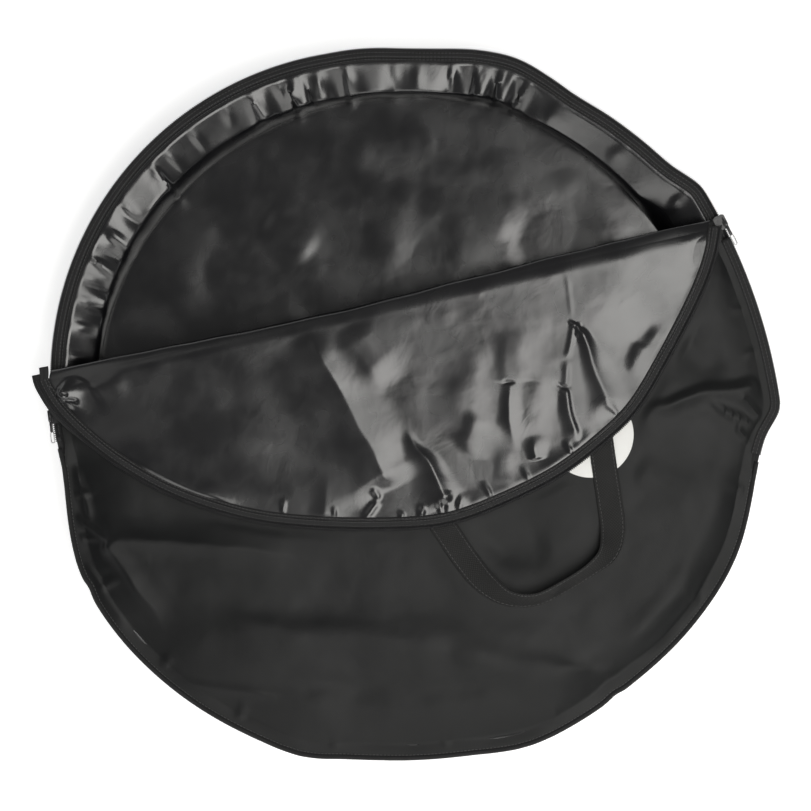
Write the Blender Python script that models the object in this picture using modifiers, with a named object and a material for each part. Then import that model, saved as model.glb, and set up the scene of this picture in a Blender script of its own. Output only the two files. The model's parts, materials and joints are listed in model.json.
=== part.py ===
"""Round bag for a bicycle wheel, lying on its back panel.

The zip round the upper half is undone, and the top of the front panel is folded down over
the lower half, with its lining up and the carrying handle lying below it.
Lengths are metres and angles degrees. +X is the bag's right, +Y its top and +Z up, with the
origin under the middle of the bag, on the surface that it lies on.
"""

import math

import bmesh
import bpy
from mathutils import Matrix, Vector

# The bag's outline and depth
BAG_RADIUS = 0.3630
RIM_HEIGHT = 0.0454
FLOOR_RADIUS = 0.3180
FRONT_CROWN_HEIGHT = 0.0575
CROWN_WIDTH = 0.0850
PANEL_THICKNESS = 0.0010
GAP = 0.0003

# The margin of the back panel that carries the zip or the seam
ZIP_PANEL_INSET = 0.0095
SEAM_PANEL_INSET = 0.0058
MARGIN_WIDTH = 0.0210
FRONT_MARGIN_WIDTH = 0.0170
WALL_LEAN = 78.0

# The zip: one chain on the back panel, the other on the front panel
ZIP_LEFT_END = 186.0
ZIP_RIGHT_END = -8.0
SEAM_BLEND = 5.0
COIL_WIDTH = 0.0055
COIL_HEIGHT = 0.0020
TOOTH_PITCH = 0.0080
TOOTH_DEPTH = 0.0034
TAPE_THICKNESS = 0.0008
TAPE_OUTER_INSET = 0.0012
TAPE_INNER_INSET = 0.0140
SEAM_BINDING_WIDTH = 0.0052
SEAM_BINDING_THICKNESS = 0.0011
STOP_LENGTH = 0.0042
STOP_HEIGHT = 0.0030

# The piping round the closed lower half
PIPING_RADIUS = 0.0026
PIPING_START = 187.2
PIPING_END = 350.8

# The fold across the front panel
FOLD_SLANT = 12.86
FOLD_OFFSET = 0.1060
FOLD_AXIS_BEHIND = 0.0080
FRONT_FOLD_INSET = 0.0020
LEFT_CORNER_SEARCH = (160.0, 190.0)
RIGHT_CORNER_SEARCH = (15.0, 45.0)
CURL_REACH = 0.0034
CURL_DROP = 0.0003
FLAP_OVERHANG = 0.0028
FLAP_SLACK = 0.0080
FLAP_PANEL_INSET = 0.0105
FLAP_CORNER_DEPTH = 0.0070

# The soft arch of the turned-down flap and the main folds of the cloth
FLAP_ARCH_RISE = 0.0062
FLAP_ARCH_DEPTH = 0.1900
FLAP_ARCH_START = 0.0200
FLAP_ARCH_BLEND = 0.0400
FLAP_FOLD_RISE = 0.0062
FLAP_FOLD_SPREAD = 0.0200
FRONT_FOLD_RISE = 0.0050
FRONT_FOLD_SPREAD = 0.0230
FOLD_FADE_SHARE = 0.25

# The carrying handle of flat webbing
STRAP_WIDTH = 0.0250
STRAP_THICKNESS = 0.0018
HANDLE_SPAN = 0.1748
HANDLE_REACH = 0.1040
HANDLE_MIDDLE_ALONG = 0.0973
HANDLE_MIDDLE_RISE = 0.0205
HANDLE_TURN = 14.74
HANDLE_AXIS_OUT = 0.0100
STRAP_END_LENGTH = 0.0500
STRAP_END_GAP = 0.00015
STRAP_TILT = 58.0

# The sliders and their pulls
SLIDER_LENGTH = 0.0150
SLIDER_OUTER_REACH = 0.0035
SLIDER_INNER_REACH = 0.0085
SLIDER_PLATE = 0.0012
SLIDER_WEB_GAP = 0.0005
SLIDER_WEB_LENGTH = 0.0080
BAIL_RADIUS = 0.0006
BAIL_HALF_LENGTH = 0.0034
BAIL_OUT = 0.0010
PULL_THICKNESS = 0.0011
PULL_BAR = 0.0014
PULL_EYE_WIDTH = 0.0023
PULL_EYE_LENGTH = 0.0055
PULL_WIDTH = 0.0050
PULL_NECK_WIDTH = 0.0032
PULL_LENGTH = 0.0270
PULL_LOOP_LENGTH = 0.0100
PULL_PLAY = 0.0002
LEFT_SLIDER_ANGLE = 186.6
RIGHT_SLIDER_ANGLE = 27.4

# The round badge on the front panel
PATCH_RADIUS = 0.0430
PATCH_THICKNESS = 0.0003
PATCH_RIM_DISTANCE = 0.1757
PATCH_ANGLE = -9.06

# Where the sliders run the rim is a true arc, so that each can turn about the arc's centre
LEFT_ARC = (102.0, 190.0)
LEFT_ARC_CENTRE_SHARES = (-0.0701, 0.0729)
LEFT_ARC_RADIUS_SHARE = 0.9085
RIGHT_ARC = (0.0, 36.0)
RIGHT_ARC_CENTRE_SHARES = (-0.5171, -0.2167)
RIGHT_ARC_RADIUS_SHARE = 1.5678

# The rest of the rim, as shares of the bag's radius at angles from +X
RIM_RADIUS_SHARES = {
    42.0: 0.989, 48.0: 0.981, 55.0: 0.977, 61.0: 0.976, 66.0: 0.989, 72.0: 1.005, 78.0: 1.001,
    85.0: 0.987, 90.0: 0.984, 96.0: 0.990, 194.5: 0.968, 200.0: 0.986, 207.0: 1.008,
    216.0: 1.015, 231.0: 1.012, 245.0: 1.008, 254.0: 1.010, 260.0: 0.991, 267.0: 0.981,
    280.0: 0.982, 290.0: 1.001, 300.0: 0.996, 309.0: 0.992, 322.0: 1.000, 335.0: 1.005,
    345.0: 0.991, 350.0: 0.987, 355.0: 0.998,
}

# The flap's outer edge: shares of its half width along the fold and of its depth below it
FLAP_EDGE_SHARES = (
    (-1.014, -0.004), (-0.974, 0.163), (-0.880, 0.369), (-0.763, 0.549), (-0.637, 0.687),
    (-0.480, 0.811), (-0.289, 0.906), (-0.094, 0.974), (0.049, 1.000), (0.200, 0.974),
    (0.386, 0.906), (0.549, 0.794), (0.654, 0.691), (0.766, 0.515), (0.889, 0.296),
    (0.957, 0.142), (1.000, -0.009),
)

# The flap's folds: where each starts and stops, in the same shares, and its share of the rise
FLAP_FOLD_SHARES = (
    ((-0.223, 0.035), (-0.062, 0.865), 1.0), ((-0.663, 0.020), (-0.456, 0.563), 0.6),
    ((0.145, 0.082), (0.116, 0.847), 0.65), ((0.454, 0.091), (0.303, 0.779), 0.8),
    ((0.344, 0.080), (0.216, 0.810), -0.75), ((0.551, 0.107), (0.399, 0.724), -0.75),
    ((0.776, 0.404), (0.587, 0.603), 0.6),
)

# The front panel's folds: start and stop in shares of the bag's radius, and the share of the rise
FRONT_FOLD_SHARES = (
    ((-0.920, -0.300), (-0.150, -0.460), 1.0), ((-0.650, -0.575), (0.280, -0.640), 0.9),
    ((0.110, -0.660), (0.500, -0.745), 0.8), ((0.565, -0.690), (0.826, -0.413), 0.8),
    ((0.640, -0.010), (0.940, 0.065), 0.9),
)

# The handle's centre line: shares of its span and reach, and how far the strap stands on edge
HANDLE_ROUTE_SHARES = (
    (-0.500, 0.000, 0.0), (-0.478, 0.344, 0.0), (-0.443, 0.647, 0.25), (-0.366, 0.877, 0.7),
    (-0.229, 0.990, 1.0), (-0.038, 1.003, 1.0), (0.129, 0.987, 1.0), (0.252, 0.921, 0.8),
    (0.341, 0.761, 0.35), (0.400, 0.488, 0.0), (0.446, 0.257, 0.0), (0.500, 0.000, 0.0),
)

# A slider's plate from above: shares of half its length, and of its width from the outer side
SLIDER_PLATE_SHARES = (
    (-1.00, 0.22), (-0.80, 0.0), (0.10, 0.0), (0.62, 0.14), (1.00, 0.30),
    (1.00, 0.72), (0.62, 0.86), (0.10, 1.0), (-0.80, 1.0), (-1.00, 0.78),
)

# The flap spans the bag along the fold, and reaches its rim when it is turned over
FLAP_HALF_WIDTH = math.sqrt(BAG_RADIUS**2 - FOLD_OFFSET**2) + FLAP_OVERHANG
FLAP_DEPTH = BAG_RADIUS - FOLD_OFFSET - 2 * FOLD_AXIS_BEHIND - FLAP_SLACK
HANDLE_MIDDLE_DOWN = FLAP_DEPTH - HANDLE_MIDDLE_RISE

# Heights of the stacked layers, from the back panel's margin up
BACK_TAPE_LOW = RIM_HEIGHT + PANEL_THICKNESS + GAP
BACK_COIL_LOW = BACK_TAPE_LOW + TAPE_THICKNESS + GAP
SIDE_COIL_LOW = BACK_COIL_LOW + COIL_HEIGHT + GAP
SIDE_TAPE_LOW = SIDE_COIL_LOW + COIL_HEIGHT + GAP
FRONT_ZIP_MIDDLE = SIDE_TAPE_LOW - GAP - PANEL_THICKNESS / 2
FRONT_SEAM_MIDDLE = BACK_TAPE_LOW + PANEL_THICKNESS / 2
SLIDER_TOP_LOW = SIDE_TAPE_LOW + TAPE_THICKNESS + GAP
SLIDER_BOTTOM_LOW = BACK_TAPE_LOW - GAP - SLIDER_PLATE
PATCH_LOW = FRONT_CROWN_HEIGHT + PANEL_THICKNESS / 2 + GAP
STRAP_LOW = PATCH_LOW + PATCH_THICKNESS + GAP
STRAP_TOP = STRAP_LOW + STRAP_THICKNESS
FLAP_MIDDLE = STRAP_TOP + GAP + PANEL_THICKNESS / 2
FLAP_TAPE_LOW = FLAP_MIDDLE + PANEL_THICKNESS / 2 + GAP
FLAP_COIL_LOW = FLAP_TAPE_LOW + TAPE_THICKNESS + GAP

# The pull's bar turns between the slider's plate and the wire bail over it
PULL_BAR_SWEEP = math.hypot(PULL_BAR, PULL_THICKNESS) / 2
PULL_HEIGHT = SLIDER_TOP_LOW + SLIDER_PLATE + PULL_BAR_SWEEP + PULL_PLAY
BAIL_HEIGHT = PULL_HEIGHT + PULL_BAR_SWEEP + PULL_PLAY + BAIL_RADIUS
SLIDER_TOP = BAIL_HEIGHT + BAIL_RADIUS

# Turned over, the flap's coil passes just over the sliders
FOLD_AXIS_HEIGHT = (FLAP_COIL_LOW + COIL_HEIGHT + SLIDER_TOP + GAP) / 2

# How finely the shapes are divided, and the steps that measure an edge's direction
RIM_STEPS = 90
WALL_STEPS = 4
FLOOR_RING_SHARES = (0.55, 0.0)
ANGLE_STEP = 0.05
KNOT_STEP = 0.01
FRONT_COLUMNS = 64
FRONT_ROW_SHARES = (0.0, 0.22, 0.44, 0.53, 0.60, 0.67, 0.74, 0.81, 0.88, 0.93, 0.97, 1.0)
FLAP_COLUMNS = 52
FLAP_ROW_SHARES = (0.10, 0.22, 0.34, 0.46, 0.58, 0.70, 0.82, 0.92, 1.0)
ROUTE_STEPS = 3
ARCH_STEPS = 6
STOP_STEPS = 3
SIDE_STEPS = 20
PIPING_STEPS = 52
PATCH_SIDES = 56
WELD_DISTANCE = 0.00001

FABRIC_BLACK = (0.030, 0.031, 0.034, 1.0)
LINING_BLACK = (0.024, 0.025, 0.028, 1.0)
WEBBING_BLACK = (0.014, 0.014, 0.015, 1.0)
COIL_BLACK = (0.018, 0.018, 0.020, 1.0)
DARK_METAL = (0.050, 0.050, 0.052, 1.0)
PALE_METAL = (0.560, 0.560, 0.570, 1.0)
PRINT_WHITE = (0.780, 0.780, 0.770, 1.0)


def clear_scene():
    """Removes whatever the scene holds."""
    for old in list(bpy.data.objects):
        bpy.data.objects.remove(old)


def new_collection(name):
    """A collection in the scene."""
    made = bpy.data.collections.new(name)
    bpy.context.scene.collection.children.link(made)
    return made


def new_material(name, colour, roughness, metallic=0.0):
    """A plain finish for one kind of piece."""
    material = bpy.data.materials.new(name)
    material.use_nodes = True
    shader = material.node_tree.nodes["Principled BSDF"]
    shader.inputs["Base Color"].default_value = colour
    shader.inputs["Roughness"].default_value = roughness
    shader.inputs["Metallic"].default_value = metallic
    return material


def smooth_step(value):
    """0 below 0 and 1 above 1, with an even rise between."""
    value = min(max(value, 0.0), 1.0)
    return value * value * (3.0 - 2.0 * value)


def spline_value(knots, place):
    """A smooth curve through (place, value) knots, for a number or a vector."""
    last = len(knots) - 2
    index = next((i for i in range(last) if place <= knots[i + 1][0]), last)
    start, stop = knots[index], knots[index + 1]
    before = knots[max(index - 1, 0)]
    after = knots[min(index + 2, last + 1)]
    span = stop[0] - start[0]
    share = (place - start[0]) / span
    leave = (stop[1] - before[1]) * (span / (stop[0] - before[0]))
    arrive = (after[1] - start[1]) * (span / (after[0] - start[0]))
    square, cube = share**2, share**3
    return (
        start[1] * (2 * cube - 3 * square + 1)
        + leave * (cube - 2 * square + share)
        + stop[1] * (3 * square - 2 * cube)
        + arrive * (cube - square)
    )


def folds_height(point, folds, rise, spread):
    """The height that folds add at a point: each a ridge, or a valley, that dies away all round."""
    total = 0.0
    for start, stop, share in folds:
        run = stop - start
        along = (point - start).dot(run) / run.length_squared
        ends = smooth_step(along / FOLD_FADE_SHARE) * smooth_step((1.0 - along) / FOLD_FADE_SHARE)
        aside = (point - start).cross(run) / run.length / spread
        total += rise * share * ends * math.exp(-2.0 * aside**2)
    return total


def direction(angle):
    """The level direction at an angle from +X."""
    return Vector((math.cos(math.radians(angle)), math.sin(math.radians(angle))))


LEFT_ARC_CENTRE = Vector(LEFT_ARC_CENTRE_SHARES) * BAG_RADIUS
LEFT_ARC_RADIUS = LEFT_ARC_RADIUS_SHARE * BAG_RADIUS
RIGHT_ARC_CENTRE = Vector(RIGHT_ARC_CENTRE_SHARES) * BAG_RADIUS
RIGHT_ARC_RADIUS = RIGHT_ARC_RADIUS_SHARE * BAG_RADIUS


def arc_reach(angle, centre, radius):
    """How far from the bag's middle an arc lies at this angle."""
    along = centre.dot(direction(angle))
    return along + math.sqrt(radius**2 - centre.length_squared + along**2)


def rim_knots():
    """The rim's knots over one turn and a little more, with the arcs' ends among them."""
    knots = {angle: share * BAG_RADIUS for angle, share in RIM_RADIUS_SHARES.items()}
    for angle in LEFT_ARC:
        knots[angle] = arc_reach(angle, LEFT_ARC_CENTRE, LEFT_ARC_RADIUS)
    for angle in RIGHT_ARC:
        knots[angle] = arc_reach(angle, RIGHT_ARC_CENTRE, RIGHT_ARC_RADIUS)
    once = sorted(knots.items())
    before = [(angle - 360.0, reach) for angle, reach in once]
    after = [(angle + 360.0, reach) for angle, reach in once]
    return before + once + after


RIM_KNOTS = rim_knots()


def rim_radius(angle):
    """The distance from the bag's middle to its rim."""
    angle %= 360.0
    if LEFT_ARC[0] <= angle <= LEFT_ARC[1]:
        return arc_reach(angle, LEFT_ARC_CENTRE, LEFT_ARC_RADIUS)
    if RIGHT_ARC[0] <= angle <= RIGHT_ARC[1]:
        return arc_reach(angle, RIGHT_ARC_CENTRE, RIGHT_ARC_RADIUS)
    return spline_value(RIM_KNOTS, angle)


def inset_point(edge, place, step, inset):
    """A point of an edge that runs with its inner side on the left, moved in square to it."""
    tangent = (edge(place + step) - edge(place - step)).normalized()
    return edge(place) + Vector((-tangent.y, tangent.x)) * inset


def rim_edge(angle):
    """A point of the rim."""
    return direction(angle) * rim_radius(angle)


def rim_point(angle, inset=0.0):
    """A point this far inside the rim."""
    return inset_point(rim_edge, angle, ANGLE_STEP, inset)


def zip_share(angle):
    """1 where the rim carries the zip, and 0 where it is a closed seam."""
    angle = (angle + 90.0) % 360.0 - 90.0
    if ZIP_RIGHT_END <= angle <= ZIP_LEFT_END:
        return 1.0
    past = ZIP_RIGHT_END - angle if angle < ZIP_RIGHT_END else angle - ZIP_LEFT_END
    return 1.0 - smooth_step(past / SEAM_BLEND)


def panel_inset(angle):
    """How far inside the rim the panels' edges lie."""
    return SEAM_PANEL_INSET + (ZIP_PANEL_INSET - SEAM_PANEL_INSET) * zip_share(angle)


def panel_edge(angle):
    """A point of the panels' edges."""
    return rim_point(angle, panel_inset(angle))


FRONT_FOLDS = [
    (Vector(start) * BAG_RADIUS, Vector(stop) * BAG_RADIUS, share)
    for start, stop, share in FRONT_FOLD_SHARES
]


def front_height(point):
    """The middle of the front panel's thickness over a point of the plan."""
    angle = math.degrees(math.atan2(point.y, point.x))
    inside = rim_radius(angle) - FRONT_MARGIN_WIDTH - point.length
    edge = FRONT_SEAM_MIDDLE + (FRONT_ZIP_MIDDLE - FRONT_SEAM_MIDDLE) * zip_share(angle)
    rise = 1.0 - (1.0 - min(max(inside / CROWN_WIDTH, 0.0), 1.0)) ** 2
    smooth_form = edge + (FRONT_CROWN_HEIGHT - edge) * rise
    return smooth_form + rise * folds_height(point, FRONT_FOLDS, FRONT_FOLD_RISE, FRONT_FOLD_SPREAD)


FOLD_ALONG = direction(FOLD_SLANT)
FOLD_DOWN = Vector((FOLD_ALONG.y, -FOLD_ALONG.x))
FOLD_ORIGIN = FOLD_DOWN * -FOLD_OFFSET
FOLD_MIDDLE = FOLD_ORIGIN - FOLD_DOWN * FOLD_AXIS_BEHIND
FOLD_TURNED = Matrix.Rotation(math.radians(FOLD_SLANT), 4, "Z")
FOLD_MATRIX = Matrix.Translation((FOLD_MIDDLE.x, FOLD_MIDDLE.y, FOLD_AXIS_HEIGHT)) @ FOLD_TURNED


def fold_plan(place):
    """A plan point from its place along the fold and below it."""
    return FOLD_ORIGIN + FOLD_ALONG * place[0] + FOLD_DOWN * place[1]


def below_fold(point):
    """How far a plan point lies below the fold."""
    return (point - FOLD_ORIGIN).dot(FOLD_DOWN)


def fold_local(place):
    """A place along the fold and below it, in the frame of the fold's axis."""
    return Vector((place[0], -(place[1] + FOLD_AXIS_BEHIND)))


FLAP_KNOTS = [
    (float(index), Vector((along * FLAP_HALF_WIDTH, down * FLAP_DEPTH)))
    for index, (along, down) in enumerate(FLAP_EDGE_SHARES)
]
FLAP_LAST = FLAP_KNOTS[-1][0]


def flap_edge(place):
    """A point of the flap's outer edge, along and below the fold, from its left end."""
    return spline_value(FLAP_KNOTS, place)


def flap_point(place, inset=0.0):
    """A point this far inside the flap's outer edge."""
    return inset_point(flap_edge, place, KNOT_STEP, -inset)


FLAP_FOLDS = [
    tuple(Vector((along * FLAP_HALF_WIDTH, down * FLAP_DEPTH)) for along, down in (start, stop)) + (share,)
    for start, stop, share in FLAP_FOLD_SHARES
]


def flap_rise(place, margin):
    """How far the flap stands above its lowest place, at a distance inside its free edge."""
    arch = FLAP_ARCH_RISE * (1.0 - smooth_step(place.y / FLAP_ARCH_DEPTH))
    folds = folds_height(place, FLAP_FOLDS, FLAP_FOLD_RISE, FLAP_FOLD_SPREAD)
    return max(arch + folds, 0.0) * smooth_step((margin - FLAP_ARCH_START) / FLAP_ARCH_BLEND)


def at_height(point, height):
    """A plan point at a height."""
    return Vector((point.x, point.y, height))


def crossing(rule, low, high):
    """Where a rule that changes sign between two places is nought."""
    rising = rule(high) > 0.0
    for _ in range(40):
        middle = (low + high) / 2
        if (rule(middle) > 0.0) == rising:
            high = middle
        else:
            low = middle
    return (low + high) / 2


def finish(made, collection, material, parent=None, matrix=None):
    """Puts an object in its collection, with its finish and its place."""
    collection.objects.link(made)
    if material:
        made.data.materials.append(material)
    made.parent = parent
    if matrix:
        made.matrix_basis = matrix
    return made


def new_empty(name, collection, matrix, parent=None):
    """An axis that pieces turn on."""
    made = bpy.data.objects.new(name, None)
    return finish(made, collection, None, parent, matrix)


def sheet(name, rows, closed, material, collection, parent=None):
    """A fabric panel: an open surface through rows of points, given its thickness."""
    mesh = bpy.data.meshes.new(name)
    shape = bmesh.new()
    grid = [[shape.verts.new(point) for point in row] for row in rows]
    columns = len(grid[0])
    for first, second in zip(grid, grid[1:]):
        for index in range(columns if closed else columns - 1):
            after = (index + 1) % columns
            shape.faces.new((first[index], first[after], second[after], second[index]))
    bmesh.ops.remove_doubles(shape, verts=shape.verts, dist=WELD_DISTANCE)
    bmesh.ops.recalc_face_normals(shape, faces=shape.faces)
    shape.to_mesh(mesh)
    shape.free()
    mesh.shade_smooth()
    made = bpy.data.objects.new(name, mesh)
    finish(made, collection, material, parent)
    shell = made.modifiers.new("fabric_thickness", "SOLIDIFY")
    shell.thickness = PANEL_THICKNESS
    shell.offset = 0.0
    shell.use_even_offset = True
    return made


def flat_piece(name, outlines, low, thickness, material, collection, parent=None):
    """A flat outline, with any holes after it, of this thickness above a height."""
    curve = bpy.data.curves.new(name, "CURVE")
    curve.dimensions = "2D"
    curve.fill_mode = "BOTH"
    curve.extrude = thickness / 2
    for outline in outlines:
        spline = curve.splines.new("POLY")
        spline.points.add(len(outline) - 1)
        for knot, point in zip(spline.points, outline):
            knot.co = (point.x, point.y, 0.0, 1.0)
        spline.use_cyclic_u = True
    lift = Matrix.Translation((0.0, 0.0, low + thickness / 2))
    made = bpy.data.objects.new(name, curve)
    return finish(made, collection, material, parent, lift)


def tube(name, route, radius, material, collection, parent=None, matrix=None):
    """A round tube along a route of points."""
    curve = bpy.data.curves.new(name, "CURVE")
    curve.dimensions = "3D"
    curve.bevel_depth = radius
    curve.bevel_resolution = 2
    curve.use_fill_caps = True
    spline = curve.splines.new("POLY")
    spline.points.add(len(route) - 1)
    for knot, point in zip(spline.points, route):
        knot.co = (point.x, point.y, point.z, 1.0)
    made = bpy.data.objects.new(name, curve)
    return finish(made, collection, material, parent, matrix)


def as_mesh(made, collection):
    """The same shape as a mesh, in place of a curve, so that it can be cut or joined."""
    bpy.context.view_layer.update()
    graph = bpy.context.evaluated_depsgraph_get()
    mesh = bpy.data.meshes.new_from_object(made.evaluated_get(graph))
    shape = bmesh.new()
    shape.from_mesh(mesh)
    bmesh.ops.remove_doubles(shape, verts=shape.verts, dist=WELD_DISTANCE)
    bmesh.ops.recalc_face_normals(shape, faces=shape.faces)
    shape.to_mesh(mesh)
    shape.free()
    name, matrix = made.name, made.matrix_world.copy()
    bpy.data.objects.remove(made)
    solid = bpy.data.objects.new(name, mesh)
    collection.objects.link(solid)
    solid.matrix_world = matrix
    return solid


def band(edge, start, stop, outer, inner, count):
    """The outline of a band between two insets along an edge."""
    places = [start + (stop - start) * index / count for index in range(count + 1)]
    outside = [edge(place, outer) for place in places]
    return outside + [edge(place, inner) for place in reversed(places)]


def edge_length(edge, start, stop):
    """The length of an edge, near enough to count its teeth."""
    count = 60
    points = [edge(start + (stop - start) * index / count) for index in range(count + 1)]
    return sum((b - a).length for a, b in zip(points, points[1:]))


def toothed_band(edge, start, stop):
    """The outline of a zip chain: teeth outwards from a spine along the tape."""
    count = max(2, round(edge_length(edge, start, stop) / TOOTH_PITCH))
    outline = []
    for tooth in range(count):
        from_place = start + (stop - start) * tooth / count
        half_place = start + (stop - start) * (tooth + 0.5) / count
        to_place = start + (stop - start) * (tooth + 1.0) / count
        outline += [edge(from_place), edge(half_place)]
        outline += [edge(half_place, TOOTH_DEPTH), edge(to_place, TOOTH_DEPTH)]
    spine = range(0, count + 1, 2)
    outline += [edge(stop + (start - stop) * index / count, COIL_WIDTH) for index in spine]
    if count % 2:
        outline.append(edge(start, COIL_WIDTH))
    return outline


def back_panel(material, collection):
    """The back: a flat floor, a wall that curls up, and the margin that carries the rim."""
    angles = [360.0 * index / RIM_STEPS for index in range(RIM_STEPS)]
    floor = PANEL_THICKNESS / 2
    margin = RIM_HEIGHT + PANEL_THICKNESS / 2
    rows = [[at_height(panel_edge(angle), margin) for angle in angles]]
    widest = math.sin(math.radians(WALL_LEAN))
    highest = 1.0 - math.cos(math.radians(WALL_LEAN))
    for step in range(WALL_STEPS, -1, -1):
        lean = math.radians(WALL_LEAN * step / WALL_STEPS)
        out_share = math.sin(lean) / widest
        up_share = (1.0 - math.cos(lean)) / highest
        row = []
        for angle in angles:
            foot = direction(angle) * FLOOR_RADIUS
            place = foot.lerp(rim_point(angle, MARGIN_WIDTH), out_share)
            row.append(at_height(place, floor + (margin - floor) * up_share))
        rows.append(row)
    for share in FLOOR_RING_SHARES:
        rows.append([at_height(direction(angle) * FLOOR_RADIUS * share, floor) for angle in angles])
    return sheet("back_panel", rows, True, material, collection)


def fold_corners():
    """The angles at which the front panel's fold meets its edge, left and right."""
    def height(angle):
        return below_fold(panel_edge(angle)) - FRONT_FOLD_INSET

    return crossing(height, *LEFT_CORNER_SEARCH), crossing(height, *RIGHT_CORNER_SEARCH)


def front_panel(material, collection):
    """The lower part of the front, from the fold down to the rim."""
    left, right = fold_corners()
    corner_left, corner_right = panel_edge(left), panel_edge(right)
    rows = []
    for share in FRONT_ROW_SHARES:
        row = []
        for column in range(FRONT_COLUMNS + 1):
            along = column / FRONT_COLUMNS
            angle = left + (right + 360.0 - left) * along
            top = corner_left.lerp(corner_right, along)
            place = top.lerp(panel_edge(angle), share)
            row.append(at_height(place, front_height(place)))
        rows.append(row)
    return sheet("front_panel", rows, False, material, collection)


def flap_panel(material, collection, parent):
    """The upper part of the front, folded down with its lining up."""
    def depth(place):
        return flap_point(place, FLAP_PANEL_INSET).y - FLAP_CORNER_DEPTH

    middle = FLAP_LAST / 2
    start, stop = crossing(depth, 0.0, middle), crossing(depth, FLAP_LAST, middle)
    first = flap_point(start, FLAP_PANEL_INSET)
    last = flap_point(stop, FLAP_PANEL_INSET)
    lip_inset = TAPE_INNER_INSET + CURL_REACH
    lip_ends = [rim_point(corner, lip_inset) - FOLD_ORIGIN for corner in fold_corners()]
    below_first, below_last = (end.dot(FOLD_ALONG) for end in lip_ends)
    columns = []
    for column in range(FLAP_COLUMNS + 1):
        share = column / FLAP_COLUMNS
        outer = flap_point(start + (stop - start) * share, FLAP_PANEL_INSET)
        along = first.x + (last.x - first.x) * share
        below = below_first + (below_last - below_first) * share
        lip = front_height(fold_plan((below, CURL_REACH))) + PANEL_THICKNESS + GAP
        places = [
            (below, CURL_REACH, lip),
            (below, CURL_REACH / 4, lip + CURL_DROP),
            ((below + along) / 2, 0.0, (lip + FLAP_MIDDLE) / 2),
            (along, CURL_REACH / 4, FLAP_MIDDLE - CURL_DROP),
            (along, CURL_REACH, FLAP_MIDDLE),
        ]
        for row_share in FLAP_ROW_SHARES:
            place = Vector((along, CURL_REACH)).lerp(outer, row_share)
            margin = (outer - place).length
            places.append((place.x, place.y, FLAP_MIDDLE + flap_rise(place, margin)))
        columns.append([at_height(fold_local(place), place[2] - FOLD_AXIS_HEIGHT) for place in places])
    rows = list(zip(*columns))
    return sheet("flap_panel", rows, False, material, collection, parent)


def flap_frame_edge(place, inset=0.0):
    """The flap's edge in the frame of the fold's axis."""
    return fold_local(flap_point(place, inset))


def chain_end(place, edge, start, stop, length):
    """The place along an edge that lies a length further on than this one."""
    return place + (stop - start) * length / edge_length(edge, start, stop)


def back_zip(materials, collection):
    """The half of the zip that is sewn to the back panel, with its stops and binding."""
    start, stop = ZIP_RIGHT_END, ZIP_LEFT_END
    count = RIM_STEPS
    tape = band(rim_point, start, stop, TAPE_OUTER_INSET, TAPE_INNER_INSET, count)
    flat_piece("back_zip_tape", [tape], BACK_TAPE_LOW, TAPE_THICKNESS, materials["tape"], collection)
    first = chain_end(start, rim_point, start, stop, STOP_LENGTH + GAP)
    last = chain_end(stop, rim_point, start, stop, -STOP_LENGTH - GAP)
    coil = toothed_band(rim_point, first, last)
    flat_piece("back_zip_coil", [coil], BACK_COIL_LOW, COIL_HEIGHT, materials["coil"], collection)
    inner = TAPE_INNER_INSET + GAP
    binding = band(rim_point, start, stop, inner, inner + SEAM_BINDING_WIDTH, count)
    flat_piece(
        "back_seam_binding", [binding], BACK_TAPE_LOW, SEAM_BINDING_THICKNESS,
        materials["binding"], collection,
    )
    ends = (("zip_stop_right", start, first, -GAP), ("zip_stop_left", last, stop, GAP))
    for name, low, high, slack in ends:
        shift = chain_end(0.0, rim_point, start, stop, slack)
        low, high = low + max(shift, 0.0), high + min(shift, 0.0)
        block = band(rim_point, low, high, TAPE_OUTER_INSET, COIL_WIDTH, STOP_STEPS)
        flat_piece(name, [block], BACK_COIL_LOW, STOP_HEIGHT, materials["metal"], collection)
    return first


def side_zip(materials, collection, first):
    """The closed stretch down the right side, where the front's tape covers both chains."""
    seat = RIGHT_ARC_CENTRE + direction(RIGHT_SLIDER_ANGLE) * RIGHT_ARC_RADIUS
    top = math.degrees(math.atan2(seat.y, seat.x))
    tape = band(rim_point, ZIP_RIGHT_END, top, TAPE_OUTER_INSET, TAPE_INNER_INSET, SIDE_STEPS)
    flat_piece("side_zip_tape", [tape], SIDE_TAPE_LOW, TAPE_THICKNESS, materials["tape"], collection)
    coil = toothed_band(rim_point, first, top)
    flat_piece("side_zip_coil", [coil], SIDE_COIL_LOW, COIL_HEIGHT, materials["coil"], collection)


def flap_zip(materials, collection, parent):
    """The half of the zip that goes with the flap, and the binding of its seam."""
    edge = flap_frame_edge
    count = 4 * int(FLAP_LAST)
    low = FLAP_TAPE_LOW - FOLD_AXIS_HEIGHT
    tape = band(edge, 0.0, FLAP_LAST, TAPE_OUTER_INSET, TAPE_INNER_INSET, count)
    flat_piece("flap_zip_tape", [tape], low, TAPE_THICKNESS, materials["tape"], collection, parent)
    coil = toothed_band(edge, 0.0, FLAP_LAST)
    coil_low = FLAP_COIL_LOW - FOLD_AXIS_HEIGHT
    flat_piece("flap_zip_coil", [coil], coil_low, COIL_HEIGHT, materials["coil"], collection, parent)
    inner = TAPE_INNER_INSET + GAP
    margin = SEAM_BINDING_WIDTH / edge_length(edge, 0.0, FLAP_LAST) * FLAP_LAST
    binding = band(edge, margin, FLAP_LAST - margin, inner, inner + SEAM_BINDING_WIDTH, count)
    flat_piece(
        "flap_seam_binding", [binding], low, SEAM_BINDING_THICKNESS,
        materials["binding"], collection, parent,
    )


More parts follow.
